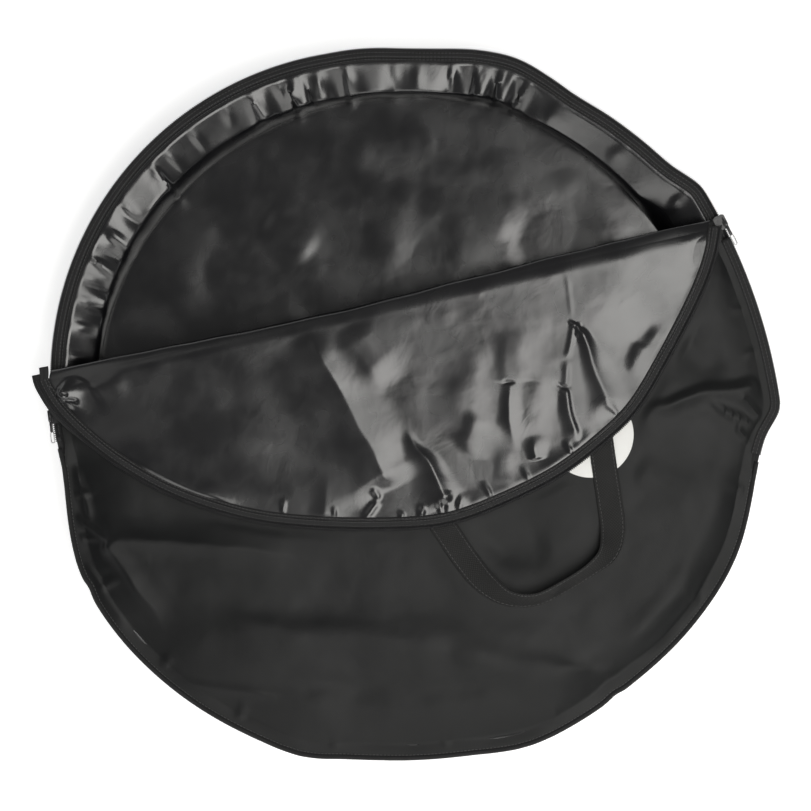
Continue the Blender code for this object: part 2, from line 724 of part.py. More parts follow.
def edge_piping(material, collection):
    """The round piping that closes the seam of the lower half."""
    height = (RIM_HEIGHT + FRONT_SEAM_MIDDLE + PANEL_THICKNESS / 2) / 2
    route = []
    for index in range(PIPING_STEPS + 1):
        angle = PIPING_START + (PIPING_END - PIPING_START) * index / PIPING_STEPS
        route.append(at_height(rim_point(angle, PIPING_RADIUS), height))
    tube("edge_piping", route, PIPING_RADIUS, material, collection)


def badge(material, collection):
    """The plain round badge printed on a disc of thin film."""
    middle = direction(PATCH_ANGLE) * (BAG_RADIUS - PATCH_RIM_DISTANCE)
    bpy.ops.mesh.primitive_cylinder_add(
        vertices=PATCH_SIDES,
        radius=PATCH_RADIUS,
        depth=PATCH_THICKNESS,
        location=at_height(middle, PATCH_LOW + PATCH_THICKNESS / 2),
    )
    made = bpy.context.object
    made.name = made.data.name = "badge_disc"
    for owner in list(made.users_collection):
        owner.objects.unlink(made)
    finish(made, collection, material)


HANDLE_SLANT = FOLD_SLANT + HANDLE_TURN
HANDLE_ALONG = direction(HANDLE_SLANT)
HANDLE_OUT = Vector((HANDLE_ALONG.y, -HANDLE_ALONG.x))
HANDLE_MIDDLE = fold_plan((HANDLE_MIDDLE_ALONG, HANDLE_MIDDLE_DOWN)) + HANDLE_OUT * HANDLE_AXIS_OUT
HANDLE_TURNED = Matrix.Rotation(math.radians(HANDLE_SLANT), 4, "Z")
HANDLE_MATRIX = Matrix.Translation(at_height(HANDLE_MIDDLE, STRAP_TOP)) @ HANDLE_TURNED


def handle_route():
    """The handle's centre line and lean, in the frame of the line that it swings on.

    Nearer to that line than half the strap's width, the strap runs straight to it.
    """
    knots = []
    for index, (along, out, lean) in enumerate(HANDLE_ROUTE_SHARES):
        down = max(out * HANDLE_REACH - HANDLE_AXIS_OUT, 0.0)
        knots.append((float(index), Vector((along * HANDLE_SPAN, -down, lean))))
    steps = (len(knots) - 1) * ROUTE_STEPS
    between = [spline_value(knots, index / ROUTE_STEPS) for index in range(1, steps)]
    clear = [knot for knot in between if -knot.y > STRAP_WIDTH / 2]
    return [knots[0][1], *clear, knots[-1][1]]


def strap_station(centre, across, lean):
    """The four corners of the webbing at one place, resting on the panel on its lower edge."""
    up = Vector((0.0, 0.0, 1.0))
    wide = (across * math.cos(lean) + up * math.sin(lean)) * (STRAP_WIDTH / 2)
    thick = (up * math.cos(lean) - across.normalized() * math.sin(lean)) * (STRAP_THICKNESS / 2)
    rest = abs(wide.z) + abs(thick.z) - STRAP_THICKNESS
    middle = Vector((centre.x, centre.y, rest))
    return [middle + wide + thick, middle - wide + thick, middle - wide - thick, middle + wide - thick]


def handle_loop(material, collection, parent):
    """The webbing loop: flat legs, and its far run turned up on edge."""
    route = handle_route()
    last = len(route) - 1
    mesh = bpy.data.meshes.new("handle_loop")
    shape = bmesh.new()
    rings = []
    for index, knot in enumerate(route):
        before, after = route[max(index - 1, 0)], route[min(index + 1, last)]
        tangent = Vector((after.x - before.x, after.y - before.y, 0.0)).normalized()
        across = Vector((-tangent.y, tangent.x, 0.0))
        centre = Vector((knot.x, knot.y, 0.0))
        if index in (0, last):
            across = Vector((math.copysign(1.0, across.x) / abs(across.x), 0.0, 0.0))
            centre.y -= STRAP_END_GAP
        lean = math.radians(STRAP_TILT * min(max(knot.z, 0.0), 1.0))
        rings.append([shape.verts.new(corner) for corner in strap_station(centre, across, lean)])
    for first, second in zip(rings, rings[1:]):
        for index in range(4):
            after = (index + 1) % 4
            shape.faces.new((first[index], first[after], second[after], second[index]))
    shape.faces.new(rings[0])
    shape.faces.new(list(reversed(rings[-1])))
    bmesh.ops.recalc_face_normals(shape, faces=shape.faces)
    shape.to_mesh(mesh)
    shape.free()
    made = bpy.data.objects.new("handle_loop", mesh)
    finish(made, collection, material, parent)


def handle_ends(material, collection, parent):
    """The sewn ends of the handle under the flap, cut off along the line that it swings on."""
    route = handle_route()
    ends = (("handle_end_left", route[0], route[1]), ("handle_end_right", route[-1], route[-2]))
    into_fold = FOLD_MATRIX.inverted() @ HANDLE_MATRIX
    for name, root, following in ends:
        tangent = Vector((root.x - following.x, root.y - following.y)).normalized()
        half = Vector((STRAP_WIDTH / 2 / abs(tangent.y), 0.0))
        start = Vector((root.x, STRAP_END_GAP))
        reach = tangent * STRAP_END_LENGTH
        outline = [start - half, start + half, start + half + reach, start - half + reach]
        placed = [(into_fold @ point.to_3d()).to_2d() for point in outline]
        low = STRAP_LOW - FOLD_AXIS_HEIGHT
        flat_piece(name, [placed], low, STRAP_THICKNESS, material, collection, parent)


def joined(base, others, cutters):
    """Adds other solids to one, which stay as hidden helpers."""
    for other in others:
        for owner in list(other.users_collection):
            owner.objects.unlink(other)
        cutters.objects.link(other)
        other.hide_render = True
        other.display_type = "WIRE"
        union = base.modifiers.new("join_" + other.name, "BOOLEAN")
        union.operation = "UNION"
        union.solver = "EXACT"
        union.object = other
    return base


def slider_outline(radius, sign):
    """A slider's plate from above, with its tail towards the pull."""
    width = SLIDER_OUTER_REACH + SLIDER_INNER_REACH
    outer, half = radius + SLIDER_OUTER_REACH, SLIDER_LENGTH / 2 * sign
    points = [Vector((outer - width * across, half * along)) for along, across in SLIDER_PLATE_SHARES]
    return points if sign < 0 else list(reversed(points))


def slider(name, centre, radius, angle, sign, materials, collection, cutters):
    """A slider that clips round the edge of the zip, with the bail that holds its pull."""
    place = Matrix.Translation(centre.to_3d()) @ Matrix.Rotation(math.radians(angle), 4, "Z")
    outline = slider_outline(radius, sign)
    top = flat_piece(name, [outline], SLIDER_TOP_LOW, SLIDER_PLATE, None, collection)
    under = name + "_bottom"
    bottom = flat_piece(under, [outline], SLIDER_BOTTOM_LOW, SLIDER_PLATE, None, collection)
    outer, inner = radius + SLIDER_OUTER_REACH, radius + SLIDER_WEB_GAP
    half = SLIDER_WEB_LENGTH / 2
    corners = [Vector(corner) for corner in ((inner, -half), (outer, -half), (outer, half), (inner, half))]
    web_low = SLIDER_BOTTOM_LOW + SLIDER_PLATE / 2
    foot = SLIDER_TOP_LOW + SLIDER_PLATE / 2
    web = flat_piece(name + "_web", [corners], web_low, foot - web_low, None, collection)
    round_radius = BAIL_RADIUS * 2
    bail_route = [Vector((radius + BAIL_OUT, -BAIL_HALF_LENGTH, foot))]
    for side, swing in ((-1.0, 180.0), (1.0, 90.0)):
        for step in range(ARCH_STEPS // 2 + 1):
            turn = direction(swing - 90.0 * step / (ARCH_STEPS // 2)) * round_radius
            across = side * (BAIL_HALF_LENGTH - round_radius) + turn.x
            bail_route.append(Vector((radius + BAIL_OUT, across, BAIL_HEIGHT - round_radius + turn.y)))
    bail_route.append(Vector((radius + BAIL_OUT, BAIL_HALF_LENGTH, foot)))
    bail = tube(name + "_bail", bail_route, BAIL_RADIUS, None, collection)
    solids = [as_mesh(piece, collection) for piece in (top, bottom, web, bail)]
    for solid in solids:
        solid.data.transform(solid.matrix_world)
        solid.matrix_world = place
    body = joined(solids[0], solids[1:], cutters)
    body.data.materials.clear()
    body.data.materials.append(materials["metal"])
    pull_place = Matrix.Translation((radius + BAIL_OUT, 0.0, PULL_HEIGHT)) @ Matrix.Rotation(
        math.radians(90.0 * sign), 4, "Z"
    )
    pull(name.replace("slider", "pull"), pull_place, body, materials["pull"], collection)
    return body


def rounded_slot(start, stop, half_width, steps=4):
    """A slot with round ends between two places along the pull."""
    outline = []
    for middle, first in ((stop - half_width, -90.0), (start + half_width, 90.0)):
        for step in range(steps + 1):
            turn = direction(first + 180.0 * step / steps) * half_width
            outline.append(Vector((middle + turn.x, turn.y)))
    return outline


def pull(name, matrix, parent, material, collection):
    """A flat pull tab: an eye on the slider's bail, a slim neck, and a finger loop."""
    eye_start = PULL_BAR / 2
    eye_stop = eye_start + PULL_EYE_LENGTH
    loop_start = PULL_LENGTH - PULL_LOOP_LENGTH
    half, neck = PULL_WIDTH / 2, PULL_NECK_WIDTH / 2
    shoulder = eye_stop + PULL_BAR
    outline = [Vector((-eye_start, -half)), Vector((shoulder, -half)), Vector((shoulder + half, -neck))]
    outline += [Vector((loop_start, -neck)), Vector((loop_start + half, -half))]
    for step in range(7):
        turn = direction(-90.0 + 30.0 * step) * half
        outline.append(Vector((PULL_LENGTH - half + turn.x, turn.y)))
    outline += [Vector((loop_start + half, half)), Vector((loop_start, neck))]
    outline += [Vector((shoulder + half, neck)), Vector((shoulder, half)), Vector((-eye_start, half))]
    eye_half = PULL_EYE_WIDTH / 2
    eye = [Vector((eye_start, -eye_half)), Vector((eye_stop, -eye_half))]
    eye += [Vector((eye_stop, eye_half)), Vector((eye_start, eye_half))]
    slot = rounded_slot(loop_start + PULL_BAR, PULL_LENGTH - PULL_BAR, half - PULL_BAR)
    made = flat_piece(name, [outline, eye, slot], 0.0, PULL_THICKNESS, material, collection, parent)
    made.matrix_basis = matrix
    return made


def main():
    """Builds the bag."""
    clear_scene()
    parts = new_collection("bike_wheel_bag")
    cutters = new_collection("cutters")
    materials = {
        "shell": new_material("coated_fabric", FABRIC_BLACK, 0.55),
        "lining": new_material("glossy_lining", LINING_BLACK, 0.35),
        "tape": new_material("zip_tape", WEBBING_BLACK, 0.85),
        "coil": new_material("zip_coil", COIL_BLACK, 0.40),
        "binding": new_material("seam_binding", WEBBING_BLACK, 0.80),
        "webbing": new_material("webbing", WEBBING_BLACK, 0.85),
        "metal": new_material("slider_metal", DARK_METAL, 0.40, 0.9),
        "pull": new_material("pull_metal", PALE_METAL, 0.30, 1.0),
        "badge": new_material("badge_print", PRINT_WHITE, 0.45),
    }
    fold = new_empty("fold_axis", parts, FOLD_MATRIX)
    swing = new_empty("handle_axis", parts, FOLD_MATRIX.inverted() @ HANDLE_MATRIX, fold)
    back_panel(materials["shell"], parts)
    front_panel(materials["shell"], parts)
    edge_piping(materials["binding"], parts)
    badge(materials["badge"], parts)
    first = back_zip(materials, parts)
    side_zip(materials, parts, first)
    flap_panel(materials["lining"], parts, fold)
    flap_zip(materials, parts, fold)
    handle_ends(materials["webbing"], parts, fold)
    handle_loop(materials["webbing"], parts, swing)
    slider(
        "slider_left", LEFT_ARC_CENTRE, LEFT_ARC_RADIUS, LEFT_SLIDER_ANGLE, 1.0,
        materials, parts, cutters,
    )
    slider(
        "slider_right", RIGHT_ARC_CENTRE, RIGHT_ARC_RADIUS, RIGHT_SLIDER_ANGLE, -1.0,
        materials, parts, cutters,
    )
    bpy.context.view_layer.update()


main()
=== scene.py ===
"""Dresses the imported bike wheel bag: coated cloth, zips, webbing and metal, lit in a plain studio.

Lengths are metres, angles degrees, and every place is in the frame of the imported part:
+X is the bag's right, +Y its top and +Z up from the surface that it lies on.
"""

import json
import logging
import math
from dataclasses import dataclass
from enum import Enum
from typing import Any, Iterable, Sequence

import bmesh
import bpy
import numpy as np
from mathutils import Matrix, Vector


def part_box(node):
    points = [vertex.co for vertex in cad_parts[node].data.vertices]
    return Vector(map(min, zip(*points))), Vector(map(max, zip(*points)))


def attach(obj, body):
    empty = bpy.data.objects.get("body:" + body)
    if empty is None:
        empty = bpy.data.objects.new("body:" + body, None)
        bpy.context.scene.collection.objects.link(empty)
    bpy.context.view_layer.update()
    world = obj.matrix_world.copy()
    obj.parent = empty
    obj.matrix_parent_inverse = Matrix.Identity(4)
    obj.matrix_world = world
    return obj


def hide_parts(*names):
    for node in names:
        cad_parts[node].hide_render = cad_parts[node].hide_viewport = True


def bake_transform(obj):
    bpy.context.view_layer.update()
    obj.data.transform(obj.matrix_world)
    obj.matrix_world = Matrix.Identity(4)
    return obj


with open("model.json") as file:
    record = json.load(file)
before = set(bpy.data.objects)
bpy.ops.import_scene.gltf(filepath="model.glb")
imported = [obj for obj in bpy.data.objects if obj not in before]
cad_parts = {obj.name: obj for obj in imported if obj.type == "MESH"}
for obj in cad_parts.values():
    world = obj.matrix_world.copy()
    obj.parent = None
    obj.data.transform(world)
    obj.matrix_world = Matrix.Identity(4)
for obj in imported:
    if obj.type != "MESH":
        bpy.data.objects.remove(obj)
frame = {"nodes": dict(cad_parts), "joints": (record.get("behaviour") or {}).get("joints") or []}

LOG = logging.getLogger("bag")
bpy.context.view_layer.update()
MILLIMETRE = 0.001
UP = np.array((0.0, 0.0, 1.0))
WHITE = (1.0, 1.0, 1.0, 1.0)
CLOTH_MAP = "cloth"
FLOOR_NAME = "studio_floor"
BADGE_PLACE = (0.1850, -0.0295)
BADGE_RADIUS = 0.0430
# Pieces that are sewn or stacked lie this far apart, as their solids do.
LAYER_GAP = 0.0003
# An edge at which the faces turn by more than this stays sharp.
SHARP_TURN = 55.0
# Smooth noise comes from a lattice with this many slopes a side, read from a place well inside it.
LATTICE = 64
LATTICE_START = 500.0
SLOPE_GAIN = 1.6
# A fold's crest has this radius, and its line wavers this far, at this grain.
CREST_RADIUS = 0.0012
WAVER = 0.0026
WAVER_GRAIN = 0.035
WAVER_SEEDS = (41, 42)
# How a fold comes up and dies away where nothing else is said, and how a gather does.
FOLD_FADE = 0.25
GATHER_FAN = 0.6
GATHER_FADES = (0.12, 0.65)
# An outline is read at each degree from the points in the window, and kept at each half degree.
READ_STEP = 1.0
READ_WINDOW = 0.75
KEPT_STEP = 0.5
CLOSED_SPAN = 359.0
READ_WEIGHTS = np.array((1.0, 2.0, 3.0, 2.0, 1.0)) / 9.0
FINE_COUNT = 2000
SWEEP_STEP = 0.003
# Stitches are drawn about twice as thick as real thread, so that they show in the picture.
STITCH_LENGTH = 2.6 * MILLIMETRE
STITCH_GAP = 1.1 * MILLIMETRE
THREAD_WIDTH = 0.7 * MILLIMETRE
STITCH_RISE = THREAD_WIDTH * 0.25
# A stitch's stations by share of its length, with its girth at each.
STITCH_SHARES = (0.0, 0.12, 0.5, 0.88, 1.0)
STITCH_GIRTH_SHARES = (0.35, 0.9, 1.0, 0.9, 0.35)
STITCH_SIDES = 6
# A flat band's eased edges, as shares of its height and of its width.
EASE_SHARES = (0.35, 0.2)
# The range that most of a noise's values lie in, and the part of a weave's wave that its threads fill.
NOISE_LOW = 0.3
NOISE_HIGH = 0.7
WEAVE_PEAK = 0.8
SMOOTH = {"interpolation_type": "SMOOTHSTEP"}

Array = np.ndarray
Plan = tuple[float, float]
Noise = tuple[float, int, float]
Piece = bpy.types.Object
Socket = bpy.types.NodeSocket
Material = bpy.types.Material


def linear(colour: str) -> tuple[float, float, float, float]:
    """Turns an sRGB hex colour to linear.

    Args:
        colour: six hex digits after a hash.

    Returns:
        Red, green, blue and an alpha of 1.
    """
    parts = [int(colour[start:start + 2], 16) / 255 for start in (1, 3, 5)]
    bent = [part / 12.92 if part <= 0.04045 else ((part + 0.055) / 1.055) ** 2.4 for part in parts]
    return bent[0], bent[1], bent[2], 1.0


def smooth(value: Array) -> Array:
    """0 below 0 and 1 above 1, with an even rise between."""
    value = np.clip(value, 0.0, 1.0)
    return value * value * (3.0 - 2.0 * value)


def direction(angle: Array | float) -> Array:
    """The plan direction at an angle from +X."""
    turn = np.radians(angle)
    return np.stack([np.cos(turn), np.sin(turn)], -1)


def bearing(away: Array) -> Array:
    """The angle from +X of plan directions, in degrees."""
    return np.degrees(np.arctan2(away[..., 1], away[..., 0]))


def lengths(points: Array) -> Array:
    """How far along a line each of its points lies."""
    return np.concatenate([[0.0], np.cumsum(np.linalg.norm(np.diff(points, axis=0), axis=1))])


def joint_with(key: str, value: str) -> dict[str, Any]:
    """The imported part's joint that has this value under this key."""
    return next(joint for joint in frame["joints"] if joint[key] == value)


def level(node: str) -> Plan:
    """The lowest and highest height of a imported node."""
    low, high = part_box(node)
    return low.z, high.z


def drift(points: Array, grain: float, seed: int) -> Array:
    """Smooth noise over the plan, from a lattice of random slopes.

    Args:
        points: plan points, in metres.
        grain: the lattice's spacing, in metres.
        seed: which lattice.

    Returns:
        A value for each point, from about -1 to 1.
    """
    slopes = direction(np.random.default_rng(seed).uniform(0.0, 360.0, (LATTICE, LATTICE)))
    place = points / grain + LATTICE_START
    cell = np.floor(place).astype(int)
    within = place - cell
    ease = within**3 * (within * (within * 6.0 - 15.0) + 10.0)
    total = np.zeros(points.shape[:-1])
    for right in (0, 1):
        for up in (0, 1):
            slope = slopes[(cell[..., 0] + right) % LATTICE, (cell[..., 1] + up) % LATTICE]
            weight = np.abs(1 - right - ease[..., 0]) * np.abs(1 - up - ease[..., 1])
            total += weight * ((within - (right, up)) * slope).sum(-1)
    return total * SLOPE_GAIN


def crumple(points: Array, *layers: tuple[float, int, Array | float]) -> Array:
    """Layers of smooth noise, each given by its grain, its seed and its height."""
    return sum(drift(points, grain, seed) * rise for grain, seed, rise in layers)


class Flank(Enum):
    """How the cloth falls away from the crest of a fold: the power of its slope, or 0 for a round one."""

    CREASED = 1.9
    ROUNDED = 0.0


@dataclass(frozen=True)
class Fold:
    """One fold in a panel: a crest from start to end, with a flank on either side.

    A negative rise makes a valley. The fan is the share by which the fold narrows towards its
    start, the bow is how far its middle bends to the left, and the fades are the shares of its
    length over which it comes up and dies away.
    """

    start: Plan
    end: Plan
    rise: float
    left: float
    right: float
    flank: Flank = Flank.CREASED
    fan: float = 0.0
    bow: float = 0.0
    fade_in: float = FOLD_FADE
    fade_out: float = FOLD_FADE

    def height(self, points: Array) -> Array:
        """The height that the fold adds.

        Args:
            points: plan points, in metres.

        Returns:
            A height for each point, in metres.
        """
        start, run = np.array(self.start), np.subtract(self.end, self.start)
        length = np.hypot(*run)
        ahead = run / length
        away = points - start
        share = (away @ ahead) / length
        bend = 4.0 * self.bow * share * (1.0 - share)
        aside = away @ np.array((-ahead[1], ahead[0])) - bend
        wide = np.where(aside > 0.0, self.left, self.right) * (1.0 - self.fan * (1.0 - share))
        wide = np.maximum(wide, MILLIMETRE)
        ends = smooth(share / self.fade_in) * smooth((1.0 - share) / self.fade_out)
        off = (np.hypot(aside, CREST_RADIUS) - CREST_RADIUS) / wide
        if self.flank is Flank.ROUNDED:
            return self.rise * ends * np.exp(-2.0 * off**2)
        return self.rise * ends * np.maximum(1.0 - off, 0.0) ** self.flank.value


def relief(points: Array, folds: Iterable[Fold]) -> Array:
    """The height that several folds add together, with a slight waver in their lines.

    Args:
        points: plan points, in metres.
        folds: the folds.

    Returns:
        A height for each point, in metres.
    """
    waver = np.stack([drift(points, WAVER_GRAIN, seed) for seed in WAVER_SEEDS], -1)
    points = points + waver * WAVER
    total = np.zeros(points.shape[:-1])
    for fold in folds:
        total += fold.height(points)
    return total


@dataclass(frozen=True)
class Edge:
    """A plan outline about a centre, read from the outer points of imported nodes."""

    centre: Array
    angles: Array
    reaches: Array

    @classmethod
    def of(cls, nodes: Sequence[str], centre: Array, first: float, last: float) -> "Edge":
        """Reads an outline from the frame.

        Args:
            nodes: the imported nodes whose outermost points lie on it.
            centre: the plan point that the angles are measured about.
            first: the angle at which it starts.
            last: the angle at which it ends, counter-clockwise.

        Returns:
            The outline, smoothed over about a degree.
        """
        meshes = [frame["nodes"][node].data for node in nodes]
        points = np.array([tuple(vertex.co)[:2] for mesh in meshes for vertex in mesh.vertices])
        away = points - centre
        turn = (bearing(away) - first) % 360.0 + first
        reach = np.hypot(away[:, 0], away[:, 1])
        known_turn, known_reach = [], []
        for step in np.arange(first, last + READ_STEP, READ_STEP):
            near = np.flatnonzero(np.abs(turn - step) <= READ_WINDOW)
            if len(near):
                best = near[np.argmax(reach[near])]
                known_turn.append(turn[best])
                known_reach.append(reach[best])
        order = np.argsort(known_turn)
        even = np.arange(first, last + KEPT_STEP / 2, KEPT_STEP)
        wraps = 360.0 if last - first >= CLOSED_SPAN else None
        found = np.interp(even, np.array(known_turn)[order], np.array(known_reach)[order], period=wraps)
        padded = np.pad(found, len(READ_WEIGHTS) // 2, mode="wrap" if wraps else "edge")
        return cls(np.array(centre, float), even, np.convolve(padded, READ_WEIGHTS, "valid"))

    def reach(self, angle: Array) -> Array:
        """How far the outline lies from its centre.

        Args:
            angle: the angles, in degrees.

        Returns:
            A distance for each angle.
        """
        first = self.angles[0]
        if self.angles[-1] - first >= CLOSED_SPAN:
            angle = (np.asarray(angle) - first) % 360.0 + first
        return np.interp(angle, self.angles, self.reaches)

    def outer(self, angle: Array) -> Array:
        """The outline's plan point at each angle."""
        return self.centre + direction(angle) * self.reach(angle)[..., None]

    def inward(self, angle: Array) -> Array:
        """The plan direction square to the outline, inwards.

        Args:
            angle: the angles, in degrees.

        Returns:
            A direction of length 1 for each angle.
        """
        ahead = self.outer(np.asarray(angle) + READ_STEP) - self.outer(np.asarray(angle) - READ_STEP)
        ahead /= np.linalg.norm(ahead, axis=-1, keepdims=True)
        return np.stack([-ahead[..., 1], ahead[..., 0]], -1)

    def point(self, angle: Array, inset: Array | float = 0.0) -> Array:
        """The plan point this far inside the outline at each angle.

        Args:
            angle: the angles, in degrees.
            inset: how far inside the outline the points lie, in metres.

        Returns:
            The points.
        """
        angle = np.asarray(angle, float)
        inset = np.asarray(inset, float)
        return self.outer(angle) + self.inward(angle) * inset[..., None]

    def even_angles(self, first: float, last: float, step: float) -> Array:
        """Angles whose points on the outline lie an even step apart.

        Args:
            first: the angle to start at.
            last: the angle to end at.
            step: the distance between neighbours, in metres.

        Returns:
            The angles, with both ends.
        """
        fine = np.linspace(first, last, FINE_COUNT)
        points = self.outer(fine)
        along = np.concatenate([[0.0], np.cumsum(np.hypot(*np.diff(points, axis=0).T))])
        count = max(2, round(along[-1] / step))
        return np.interp(np.linspace(0.0, along[-1], count + 1), along, fine)


def new_object(name: str, points: Array, faces: Iterable[Iterable[int]],
               places: Array | None = None) -> Piece:
    """A mesh object from arrays.

    Args:
        name: the piece's name.
        points: its corners, in metres.
        faces: the corner numbers of each face.
        places: for each corner, its place on the flat cloth, in metres.

    Returns:
        The object, shaded smooth.
    """
    mesh = bpy.data.meshes.new(name)
    mesh.from_pydata(points.tolist(), [], [list(face) for face in faces])
    if places is not None:
        layer = mesh.uv_layers.new(name=CLOTH_MAP)
        corners = np.zeros(len(mesh.loops), int)
        mesh.loops.foreach_get("vertex_index", corners)
        layer.data.foreach_set("uv", places[corners].astype(np.float32).ravel())
    mesh.validate()
    mesh.shade_smooth()
    made = bpy.data.objects.new(name, mesh)
    bpy.context.scene.collection.objects.link(made)
    return made


def grid_faces(rows: int, columns: int, round_about: bool) -> Array:
    """The quads of a grid of corners.

    Args:
        rows: how many rows it has.
        columns: how many columns it has.
        round_about: whether its last column joins its first.

    Returns:
        Four corner numbers for each quad.
    """
    index = np.arange(rows * columns).reshape(rows, columns)
    beside = np.roll(index, -1, 1) if round_about else index[:, 1:]
    first = index if round_about else index[:, :-1]
    quads = np.stack([first[:-1], beside[:-1], beside[1:], first[1:]], -1)
    return quads.reshape(-1, 4)


def capped_faces(rows: int, around: int) -> list[list[int]]:
    """The faces of a tube of corners, with a flat face on either end."""
    quads = [list(face) for face in grid_faces(rows, around, True)]
    return quads + [list(range(around))[::-1], list(range((rows - 1) * around, rows * around))]


def loft(name: str, rings: Array, girth: Array | None = None) -> Piece:
    """A closed solid through rings of points, with flat ends.

    Args:
        name: the piece's name.
        rings: the points, by ring, by place round the ring, by axis.
        girth: the cloth place of each point round a ring, if not its own length.

    Returns:
        The object, with its cloth map along and round it.
    """
    count, around = rings.shape[:2]
    along = lengths(rings.mean(1))
    girth = lengths(rings[0]) if girth is None else girth
    places = np.stack(np.broadcast_arrays(along[:, None], girth[None, :]), -1).reshape(-1, 2)
    made = new_object(name, rings.reshape(-1, 3), capped_faces(count, around), places)
    face_out(made)
    return made


def face_out(piece: Piece) -> None:
    """Turns a closed mesh's faces outwards.

    Args:
        piece: the object with the mesh.
    """
    shape = bmesh.new()
    shape.from_mesh(piece.data)
    bmesh.ops.recalc_face_normals(shape, faces=shape.faces)
    shape.to_mesh(piece.data)
    shape.free()


def cloth(name: str, grid: Array, places: Array, round_about: bool, thickness: float) -> Piece:
    """A cloth panel: a grid of points given its thickness, with an inner side of its own finish.

    Args:
        name: the piece's name.
        grid: points by row and column, whose faces turn towards the cloth's outer side.
        places: the place of each point on the flat cloth, in metres.
        round_about: whether the columns go round about.
        thickness: the cloth's thickness, in metres.

    Returns:
        The object, with slot 0 for its outer side and slot 1 for its inner side.
    """
    rows, columns = grid.shape[:2]
    quads = grid_faces(rows, columns, round_about)
    made = new_object(name, grid.reshape(-1, 3), quads, places.reshape(-1, 2))
    shell = made.modifiers.new("thickness", "SOLIDIFY")
    shell.thickness = thickness
    shell.offset = 0.0
    shell.material_offset = 1
    return made


def apply_modifiers(piece: Piece) -> None:
    """Applies a piece's modifiers, and keeps its cut edges sharp.

    Args:
        piece: the piece, already dressed.
    """
    bpy.context.view_layer.update()
    graph = bpy.context.evaluated_depsgraph_get()
    mesh = bpy.data.meshes.new_from_object(piece.evaluated_get(graph), depsgraph=graph)
    piece.modifiers.clear()
    piece.data = mesh
    mesh.set_sharp_from_angle(angle=math.radians(SHARP_TURN))


def hang(piece: Piece, body: str, slot: str, *stands_for: str) -> None:
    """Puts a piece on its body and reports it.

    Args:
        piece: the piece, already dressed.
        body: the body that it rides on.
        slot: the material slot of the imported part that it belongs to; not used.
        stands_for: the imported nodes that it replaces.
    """
    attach(piece, body)
    if stands_for:
        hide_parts(*stands_for)
    LOG.info("built %s", piece.name)


def normals(grid: Array, round_about: bool = False) -> Array:
    """The normals of a grid of points, on the side that its faces turn to.

    Args:
        grid: the points, by row and column.
        round_about: whether the columns go round about.

    Returns:
        A direction of length 1 for each point.
    """
    if round_about:
        beside = np.roll(grid, -1, 1) - np.roll(grid, 1, 1)
    else:
        beside = np.gradient(grid, axis=1)
    square = np.cross(beside, np.gradient(grid, axis=0))
    return square / np.maximum(np.linalg.norm(square, axis=-1, keepdims=True), 1e-12)


def sweep(name: str, edge: Edge, angles: Array, profile: Sequence[Plan],
          shift: Array | float = 0.0) -> Piece:
    """A closed solid that runs along an outline.

    Args:
        name: the piece's name.
        edge: the outline.
        angles: where its stations lie.
        profile: its section's corners, each an inset from the outline and a height.
        shift: how far further inside the outline each station lies.

    Returns:
        The object.
    """
    rings = np.empty((len(angles), len(profile), 3))
    for index, (inset, height) in enumerate(profile):
        rings[:, index, :2] = edge.point(angles, inset + np.asarray(shift) * np.ones(len(angles)))
        rings[:, index, 2] = height
    return loft(name, rings)


def rounded_band(outer: float, inner: float, low: float, high: float) -> list[Plan]:
    """The section of a flat band with eased edges.

    Args:
        outer: the inset of its outer edge.
        inner: the inset of its inner edge.
        low: the height of its underside.
        high: the height of its top.

    Returns:
        Its corners, as insets and heights.
    """
    ease = min((high - low) * EASE_SHARES[0], (inner - outer) * EASE_SHARES[1])
    return [
        (outer + ease, low), (outer, low + ease), (outer, high - ease), (outer + ease, high),
        (inner - ease, high), (inner, high - ease), (inner, low + ease), (inner - ease, low),
    ]


def stitches(name: str, starts: Array, stops: Array, width: float, rise: float) -> Piece:
    """A row of sewn stitches, each a small plump capsule that dips at its ends.

    Args:
        name: the piece's name.
        starts: where each stitch comes out of the cloth.
        stops: where it goes back in.
        width: the thread's width.
        rise: how far the thread's middle stands up.

    Returns:
        The object, with every stitch in it.
    """
    run = stops - starts
    ahead = run / np.linalg.norm(run, axis=-1, keepdims=True)
    aside = np.cross(UP, ahead)
    aside /= np.linalg.norm(aside, axis=-1, keepdims=True)
    above = np.cross(ahead, aside)
    turns = np.arange(STITCH_SIDES) * math.tau / STITCH_SIDES
    corners = []
    for share, girth in zip(STITCH_SHARES, STITCH_GIRTH_SHARES):
        middle = starts + run * share + above * rise * math.sin(math.pi * share)
        for turn in turns:
            out = aside * math.cos(turn) + above * math.sin(turn)
            corners.append(middle + out * width / 2 * girth)
    points = np.stack(corners, 1)
    own = capped_faces(len(STITCH_SHARES), STITCH_SIDES)
    faces = [[corner + first for corner in face]
             for first in range(0, len(corners) * len(starts), len(corners)) for face in own]
    made = new_object(name, points.reshape(-1, 3), faces)
    face_out(made)
    return made


def stitched_edge(name: str, edge: Edge, span: Plan, inset: float, height: float) -> Piece:
    """A line of stitches along an outline.

    Args:
        name: the piece's name.
        edge: the outline.
        span: the angles between which it runs.
        inset: how far inside the outline it lies.
        height: the height of the cloth's surface.

    Returns:
        The object.
    """
    angles = edge.even_angles(*span, (STITCH_LENGTH + STITCH_GAP) / 2)
    plan = edge.point(angles, inset)
    points = np.concatenate([plan, np.full((len(plan), 1), height)], -1)
    count = (len(points) - 1) // 2
    starts, middles = points[0:2 * count:2], points[1:2 * count + 1:2]
    stops = starts + (middles - starts) * 2.0 * STITCH_LENGTH / (STITCH_LENGTH + STITCH_GAP)
    return stitches(name, starts, stops, THREAD_WIDTH, STITCH_RISE)


